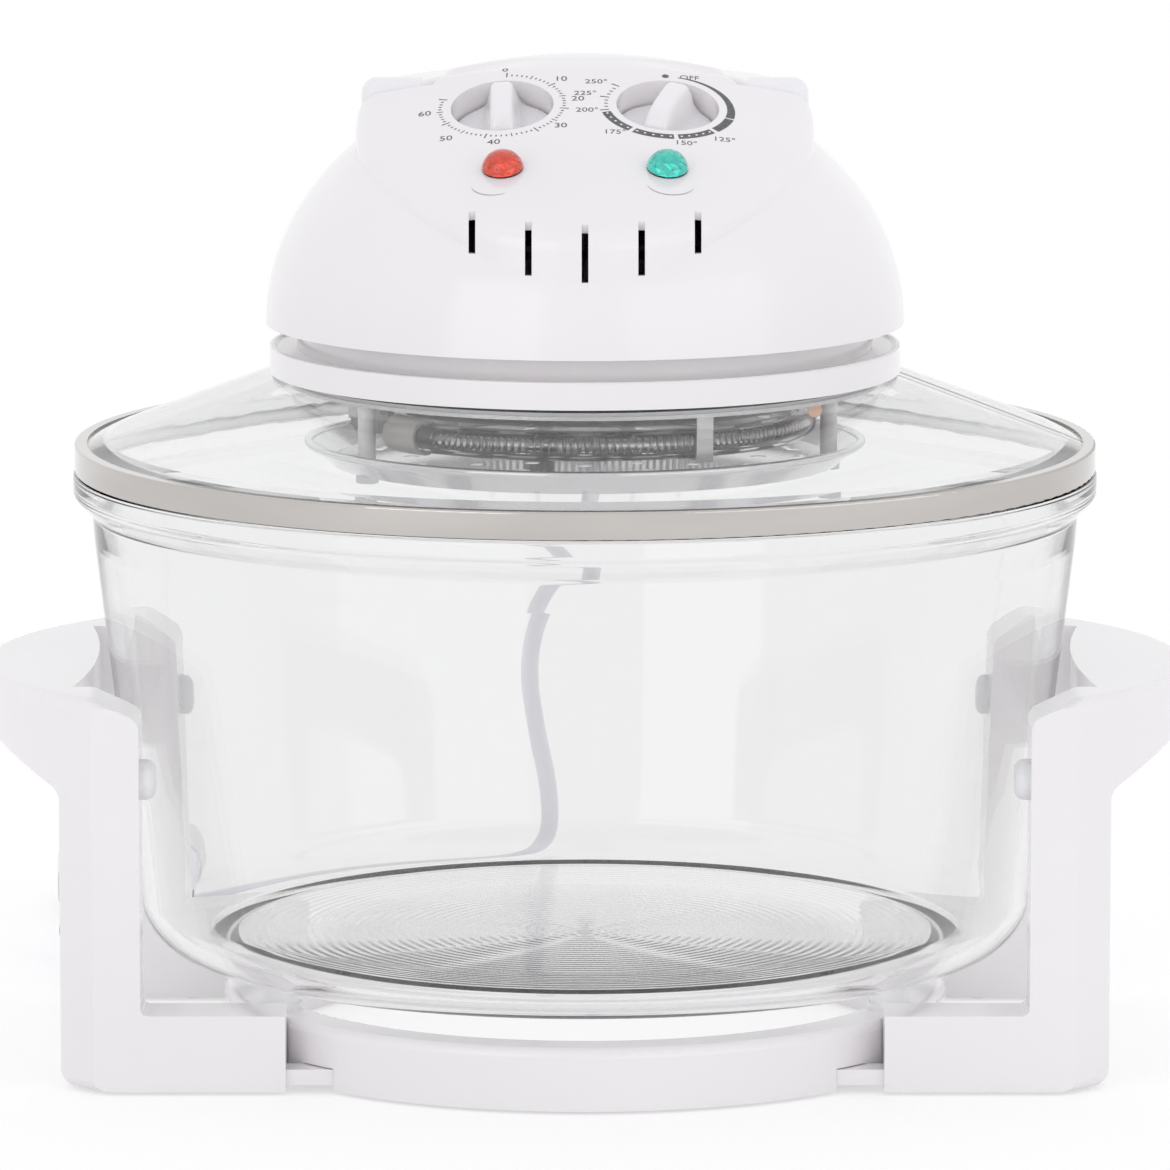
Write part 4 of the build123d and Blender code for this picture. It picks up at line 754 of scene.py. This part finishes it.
def arch_slope(x, y, z):
    """How fast the drop changes along X, Y and Z."""
    here = arch_drop(x, y, z)
    return Vector(
        (
            (arch_drop(x + SLOPE_STEP, y, z) - here) / SLOPE_STEP,
            (arch_drop(x, y + SLOPE_STEP, z) - here) / SLOPE_STEP,
            (arch_drop(x, y, z + SLOPE_STEP) - here) / SLOPE_STEP,
        )
    )


def arched_cover():
    """The cover with its top edge drawn down, and its surface's own normals carried along."""
    source = nodes["head_cover"].data
    corners = [corner.vector.copy() for corner in source.corner_normals]
    faces = [list(face.vertices) for face in source.polygons]
    spots = [vertex.co.copy() for vertex in source.vertices]
    tree = BVHTree.FromPolygons(spots, faces)
    work = bmesh.new()
    work.from_mesh(source)
    cuts = [((0, y * MM, 0), (0, 1, 0)) for y in CUT_YS]
    cuts += [((x * MM, 0, 0), (1, 0, 0)) for x in CUT_XS]
    for place, normal in cuts:
        near = []
        for face in work.faces:
            highest = max(vertex.co.z for vertex in face.verts)
            if highest > ARCH_Z[0] * MM and max(vertex.co.y for vertex in face.verts) > 0:
                near.append(face)
        edges = {edge for face in near for edge in face.edges}
        points = {vertex for face in near for vertex in face.verts}
        bmesh.ops.bisect_plane(
            work,
            geom=list(points) + list(edges) + near,
            plane_co=place,
            plane_no=normal,
            dist=CUT_SNAP,
        )
    mesh = bpy.data.meshes.new("arched_cover")
    work.to_mesh(mesh)
    work.free()
    normals = []
    for face in mesh.polygons:
        face.use_smooth = True
        for index in face.vertices:
            spot = mesh.vertices[index].co
            inside = spot.lerp(face.center, LOOK_IN)
            found, _, which, _ = tree.find_nearest(inside)
            ring = [spots[corner] for corner in faces[which]]
            weights = poly_3d_calc(ring, found)
            start = source.polygons[which].loop_start
            normal = Vector((0, 0, 0))
            for corner, weight in enumerate(weights):
                normal += corners[start + corner] * weight
            x, y, z = spot / MM
            if z < ARCH_Z[0] or y < 0:
                normals.append(normal.normalized())
                continue
            slope = arch_slope(x, y, z)
            stretch = max(LEAST_STRETCH, 1 - slope.z)
            normals.append((normal + slope * (normal.z / stretch)).normalized())
    for vertex in mesh.vertices:
        vertex.co.z -= arch_drop(*(vertex.co / MM)) * MM
    mesh.normals_split_custom_set(normals)
    return mesh


cover = new_piece("arched_cover", arched_cover(), white_plastic)
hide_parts("head_cover")
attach(cover, "lid")

# ------------------------------------------------------------------ dial markings
INK_LIFT = 0.06
DOT_LIFT = 0.09
DOT_SIDES = 10
TIMER_ZERO = 86.0
TIMER_STEP = 286.0 / 60  # degrees for a minute
TICKS = {10: (18.7, 21.6, 0.55), 5: (18.9, 21.0, 0.45), 1: (19.4, 20.4, 0.6)}  # radii, half angle
BAND_IN = 19.0
BAND_OUT = 21.9
BAND_DOTS = 20.45
BAND_START = 80  # degrees, like all angles round the dials
BAND_STEP = 5
BAND_STEPS = 20
BAND_THIN = 0.35
BAND_GROWTH = 0.13
BLOCKS = ((-17, -43, 8), (-47, -81, 10), (-85, -122, 10), (-126, -164, 10))  # from, to, steps
DOTTED = ((-50, -78), (-88, -119), (-129, -161))
DOTS = 5
DOT_R = 0.42
DASH_START = -168
DASH_STEP = 6
DASHES = 9
LONG_DASHES = (0, 4, 8)
DASH_IN = 19.2
DASH_OUT = 20.4
LONG_DASH_OUT = 22.2
DASH_HALF = 0.6
OFF_DOT = (19.4, 92, 1.15)  # radius, angle, size
LAMP_ARCS = ((-LAMP_X - 2.2, -165, -65), (LAMP_X + 1.0, -160, -22))  # centre, from, to
LAMP_ARC_R = 7.9
LAMP_ARC_DOWN = 8.7
LAMP_ARC_THICK = 0.55
LAMP_ARC_STEPS = 24
LAMP_ARC_END = 0.8  # the taper starts this many steps in, so that no end comes to a point
TIMER_TEXT = 4.3
HEAT_TEXT = 3.9
OFF_TEXT = 3.6
ink = material("dial ink", (0.1, 0.1, 0.11), 0.45)
vary_color(ink, add_noise(ink, 700.0), (0.07, 0.07, 0.08), (0.13, 0.13, 0.14))
soft_ink = material("grey ink", (0.42, 0.42, 0.44), 0.45)
vary_color(soft_ink, add_noise(soft_ink, 700.0), (0.36, 0.36, 0.38), (0.46, 0.46, 0.48))


def dial_place(side, radius, angle):
    """Panel coordinates of a point round a dial, angle counter-clockwise from +X."""
    turn = math.radians(angle)
    return side * DIAL_X + radius * math.cos(turn), DIAL_SLOPE - radius * math.sin(turn)


def join_rows(work, rows):
    """Faces between rows of two points."""
    for here, there in zip(rows, rows[1:]):
        work.faces.new((here[0], here[1], there[1], there[0]))


def mark_arc(work, side, inner, outer, start, end, steps):
    """A flat band of an arc on the panel."""
    rows = []
    for step in range(steps + 1):
        angle = start + (end - start) * step / steps
        rows.append(
            [work.verts.new(panel_point(*dial_place(side, r, angle), INK_LIFT)) for r in (inner, outer)]
        )
    join_rows(work, rows)


def mark_dot(work, side, radius, angle, size):
    """A flat dot on the panel, above the bands."""
    x, down = dial_place(side, radius, angle)
    ring = []
    for step in range(DOT_SIDES):
        turn = 2 * math.pi * step / DOT_SIDES
        place = panel_point(x + size * math.cos(turn), down + size * math.sin(turn), DOT_LIFT)
        ring.append(work.verts.new(place))
    work.faces.new(ring)


def ink_piece(name, build, dressed):
    """One piece of printing that goes with the lid."""
    mesh = mesh_of(name, build)
    piece = new_piece(name, mesh, dressed)
    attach(piece, "lid")


def timer_ticks(work):
    """A minute scale: 60 at the left, round the bottom and up to 0 at the top."""
    for minute in range(61):
        angle = TIMER_ZERO - minute * TIMER_STEP
        every = 10 if minute % 10 == 0 else 5 if minute % 5 == 0 else 1
        inner, outer, half = TICKS[every]
        mark_arc(work, -1, inner, outer, angle - half, angle + half, 1)


ink_piece("timer_ticks", timer_ticks, ink)


def heat_scale(work):
    """A band that widens from the off dot round to the right, then blocks, then dashes."""
    rows = []
    for step in range(BAND_STEPS):
        angle = BAND_START - BAND_STEP * step
        edges = (BAND_IN, BAND_IN + BAND_THIN + BAND_GROWTH * step)
        rows.append([work.verts.new(panel_point(*dial_place(1, r, angle), INK_LIFT)) for r in edges])
    join_rows(work, rows)
    for start, end, steps in BLOCKS:
        mark_arc(work, 1, BAND_IN, BAND_OUT, start, end, steps)
    for step in range(DASHES):
        angle = DASH_START - step * DASH_STEP
        outer = LONG_DASH_OUT if step in LONG_DASHES else DASH_OUT
        mark_arc(work, 1, DASH_IN, outer, angle - DASH_HALF, angle + DASH_HALF, 1)
    mark_dot(work, 1, *OFF_DOT)


def heat_dots(work):
    """The pale dots in the dotted blocks."""
    for start, end in DOTTED:
        for step in range(DOTS):
            mark_dot(work, 1, BAND_DOTS, start + (end - start) * step / (DOTS - 1), DOT_R)


def lamp_arcs(work):
    """The grey arcs under the lamps, thin at both ends."""
    down = LAMP_SLOPE + LAMP_ARC_DOWN
    for middle, start, end in LAMP_ARCS:
        rows = []
        for step in range(LAMP_ARC_STEPS + 1):
            turn = math.radians(start + (end - start) * step / LAMP_ARC_STEPS)
            share = (step + LAMP_ARC_END) / (LAMP_ARC_STEPS + 2 * LAMP_ARC_END)
            thin = LAMP_ARC_THICK * math.sin(math.pi * share)
            row = []
            for r in (LAMP_ARC_R, LAMP_ARC_R + thin):
                place = panel_point(middle + r * math.cos(turn), down - r * math.sin(turn), INK_LIFT)
                row.append(work.verts.new(place))
            rows.append(row)
        join_rows(work, rows)


ink_piece("heat_scale", heat_scale, ink)
ink_piece("heat_dots", heat_dots, white_plastic)
ink_piece("lamp_arcs", lamp_arcs, soft_ink)


def number(name, text, side, radius, angle, size):
    """A number printed upright on the panel, centred on its place."""
    curve = bpy.data.curves.new(name, "FONT")
    curve.body = text
    curve.size = size
    curve.align_x = "CENTER"
    curve.align_y = "CENTER"
    curve.resolution_u = 3
    holder = bpy.data.objects.new(name + "_outline", curve)
    mesh = bpy.data.meshes.new_from_object(holder)
    bpy.data.objects.remove(holder)
    x, down = dial_place(side, radius, angle)
    for vertex in mesh.vertices:
        vertex.co = panel_point(x + vertex.co.x, down - vertex.co.y, INK_LIFT)
    piece = new_piece(name, mesh, ink)
    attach(piece, "lid")


for text, radius, angle in (
    ("60", 24.8, -177),
    ("50", 26.0, -133),
    ("40", 24.0, -96),
    ("30", 23.8, -38),
    ("20", 24.4, 7),
    ("10", 24.8, 41),
    ("0", 24.0, 88),
):
    number("timer_" + text, text, -1, radius, angle, TIMER_TEXT)
for text, radius, angle in (
    ("250\u00b0", 27.0, 148),
    ("225\u00b0", 27.2, 166),
    ("200\u00b0", 26.2, -170),
    ("175\u00b0", 25.4, -132),
    ("150\u00b0", 24.8, -77),
    ("125\u00b0", 26.6, -48),
):
    number("heat_" + text[:3], text, 1, radius, angle, HEAT_TEXT)
number("off_mark", "OFF", 1, 20.6, 70, OFF_TEXT)

# Clear glass lets the studio's light through to what stands behind it.
for glass in (nodes["lid_glass"], bowl):
    glass.visible_shadow = False
    glass.visible_diffuse = False

# ------------------------------------------------------------------ world, lights and floor
WALLS = (0.86, 0.853, 0.858, 1)
CEILING = (0.95, 0.95, 1.0, 1)
IN_FRONT = 0.92  # the studio's strength on the camera's side, and behind the oven
BEHIND = 1.2
LIGHT_AIM = Vector((0, 0, 0.25))
FLOOR = 6.0
FLOOR_BRIGHT = (1.12, 1.12, 1.12, 1)
FLOOR_GLOW = 0.55  # the rest of the floor's look is its own surface, which keeps the shadow


def seen_white(tree):
    """1 for camera, transmission and glossy rays, which all see the same white background."""
    ray = tree.nodes.new("ShaderNodeLightPath")
    found = ray.outputs["Is Camera Ray"]
    for kind in ("Is Transmission Ray", "Is Glossy Ray"):
        either = tree.nodes.new("ShaderNodeMath")
        either.operation = "MAXIMUM"
        tree.links.new(found, either.inputs[0])
        tree.links.new(ray.outputs[kind], either.inputs[1])
        found = either.outputs["Value"]
    return found


world = bpy.data.worlds.new("studio")
bpy.context.scene.world = world
world.use_nodes = True
tree = world.node_tree
tree.nodes.clear()
place = tree.nodes.new("ShaderNodeTexCoord")
split = tree.nodes.new("ShaderNodeSeparateXYZ")
tree.links.new(place.outputs["Generated"], split.inputs["Vector"])
overhead = tree.nodes.new("ShaderNodeMapRange")
overhead.interpolation_type = "SMOOTHSTEP"
overhead.inputs["From Min"].default_value = 0.45
overhead.inputs["From Max"].default_value = 0.9
tree.links.new(split.outputs["Z"], overhead.inputs["Value"])
ceiling = tree.nodes.new("ShaderNodeMix")
ceiling.data_type = "RGBA"
ceiling.inputs["A"].default_value = WALLS
ceiling.inputs["B"].default_value = CEILING
tree.links.new(overhead.outputs["Result"], ceiling.inputs["Factor"])
behind = tree.nodes.new("ShaderNodeMapRange")
behind.interpolation_type = "SMOOTHSTEP"
behind.inputs["From Min"].default_value = 0.1
behind.inputs["From Max"].default_value = 0.7
behind.inputs["To Min"].default_value = IN_FRONT
behind.inputs["To Max"].default_value = BEHIND
tree.links.new(split.outputs["Y"], behind.inputs["Value"])
studio = tree.nodes.new("ShaderNodeBackground")
tree.links.new(behind.outputs["Result"], studio.inputs["Strength"])
tree.links.new(ceiling.outputs["Result"], studio.inputs["Color"])
plain = tree.nodes.new("ShaderNodeBackground")
plain.inputs["Color"].default_value = (1, 1, 1, 1)
mix = tree.nodes.new("ShaderNodeMixShader")
tree.links.new(seen_white(tree), mix.inputs["Fac"])
tree.links.new(studio.outputs["Background"], mix.inputs[1])
tree.links.new(plain.outputs["Background"], mix.inputs[2])
output = tree.nodes.new("ShaderNodeOutputWorld")
tree.links.new(mix.outputs["Shader"], output.inputs["Surface"])


def softbox(name, place, size, watts):
    """A soft lamp that faces the middle of the oven."""
    lamp = bpy.data.lights.new(name, "AREA")
    lamp.shape = "RECTANGLE"
    lamp.size, lamp.size_y = size
    lamp.energy = watts
    holder = bpy.data.objects.new(name, lamp)
    holder.location = place
    holder.rotation_euler = (LIGHT_AIM - Vector(place)).to_track_quat("-Z", "Y").to_euler()
    collection.objects.link(holder)


softbox("right box", (1.47, -1.63, 0.75), (2.3, 1.5), 5.5)
softbox("left box", (-1.17, -1.87, 0.75), (1.35, 1.5), 5.0)

floor_mesh = bpy.data.meshes.new("floor")
floor_mesh.from_pydata(
    [(-FLOOR, -FLOOR, 0), (FLOOR, -FLOOR, 0), (FLOOR, FLOOR, 0), (-FLOOR, FLOOR, 0)],
    [],
    [(0, 1, 2, 3)],
)
floor = bpy.data.objects.new("floor", floor_mesh)
collection.objects.link(floor)
floor_white = material("floor white", (0.93, 0.93, 0.93), 0.9)
tree = floor_white.node_tree
glow = tree.nodes.new("ShaderNodeEmission")
glow.inputs["Color"].default_value = FLOOR_BRIGHT
share = tree.nodes.new("ShaderNodeMath")
share.operation = "MULTIPLY"
share.inputs[1].default_value = FLOOR_GLOW
tree.links.new(seen_white(tree), share.inputs[0])
both = tree.nodes.new("ShaderNodeMixShader")
tree.links.new(share.outputs["Value"], both.inputs["Fac"])
tree.links.new(shader_of(floor_white).outputs["BSDF"], both.inputs[1])
tree.links.new(glow.outputs["Emission"], both.inputs[2])
tree.links.new(both.outputs["Shader"], tree.nodes["Material Output"].inputs["Surface"])
floor_mesh.materials.append(floor_white)
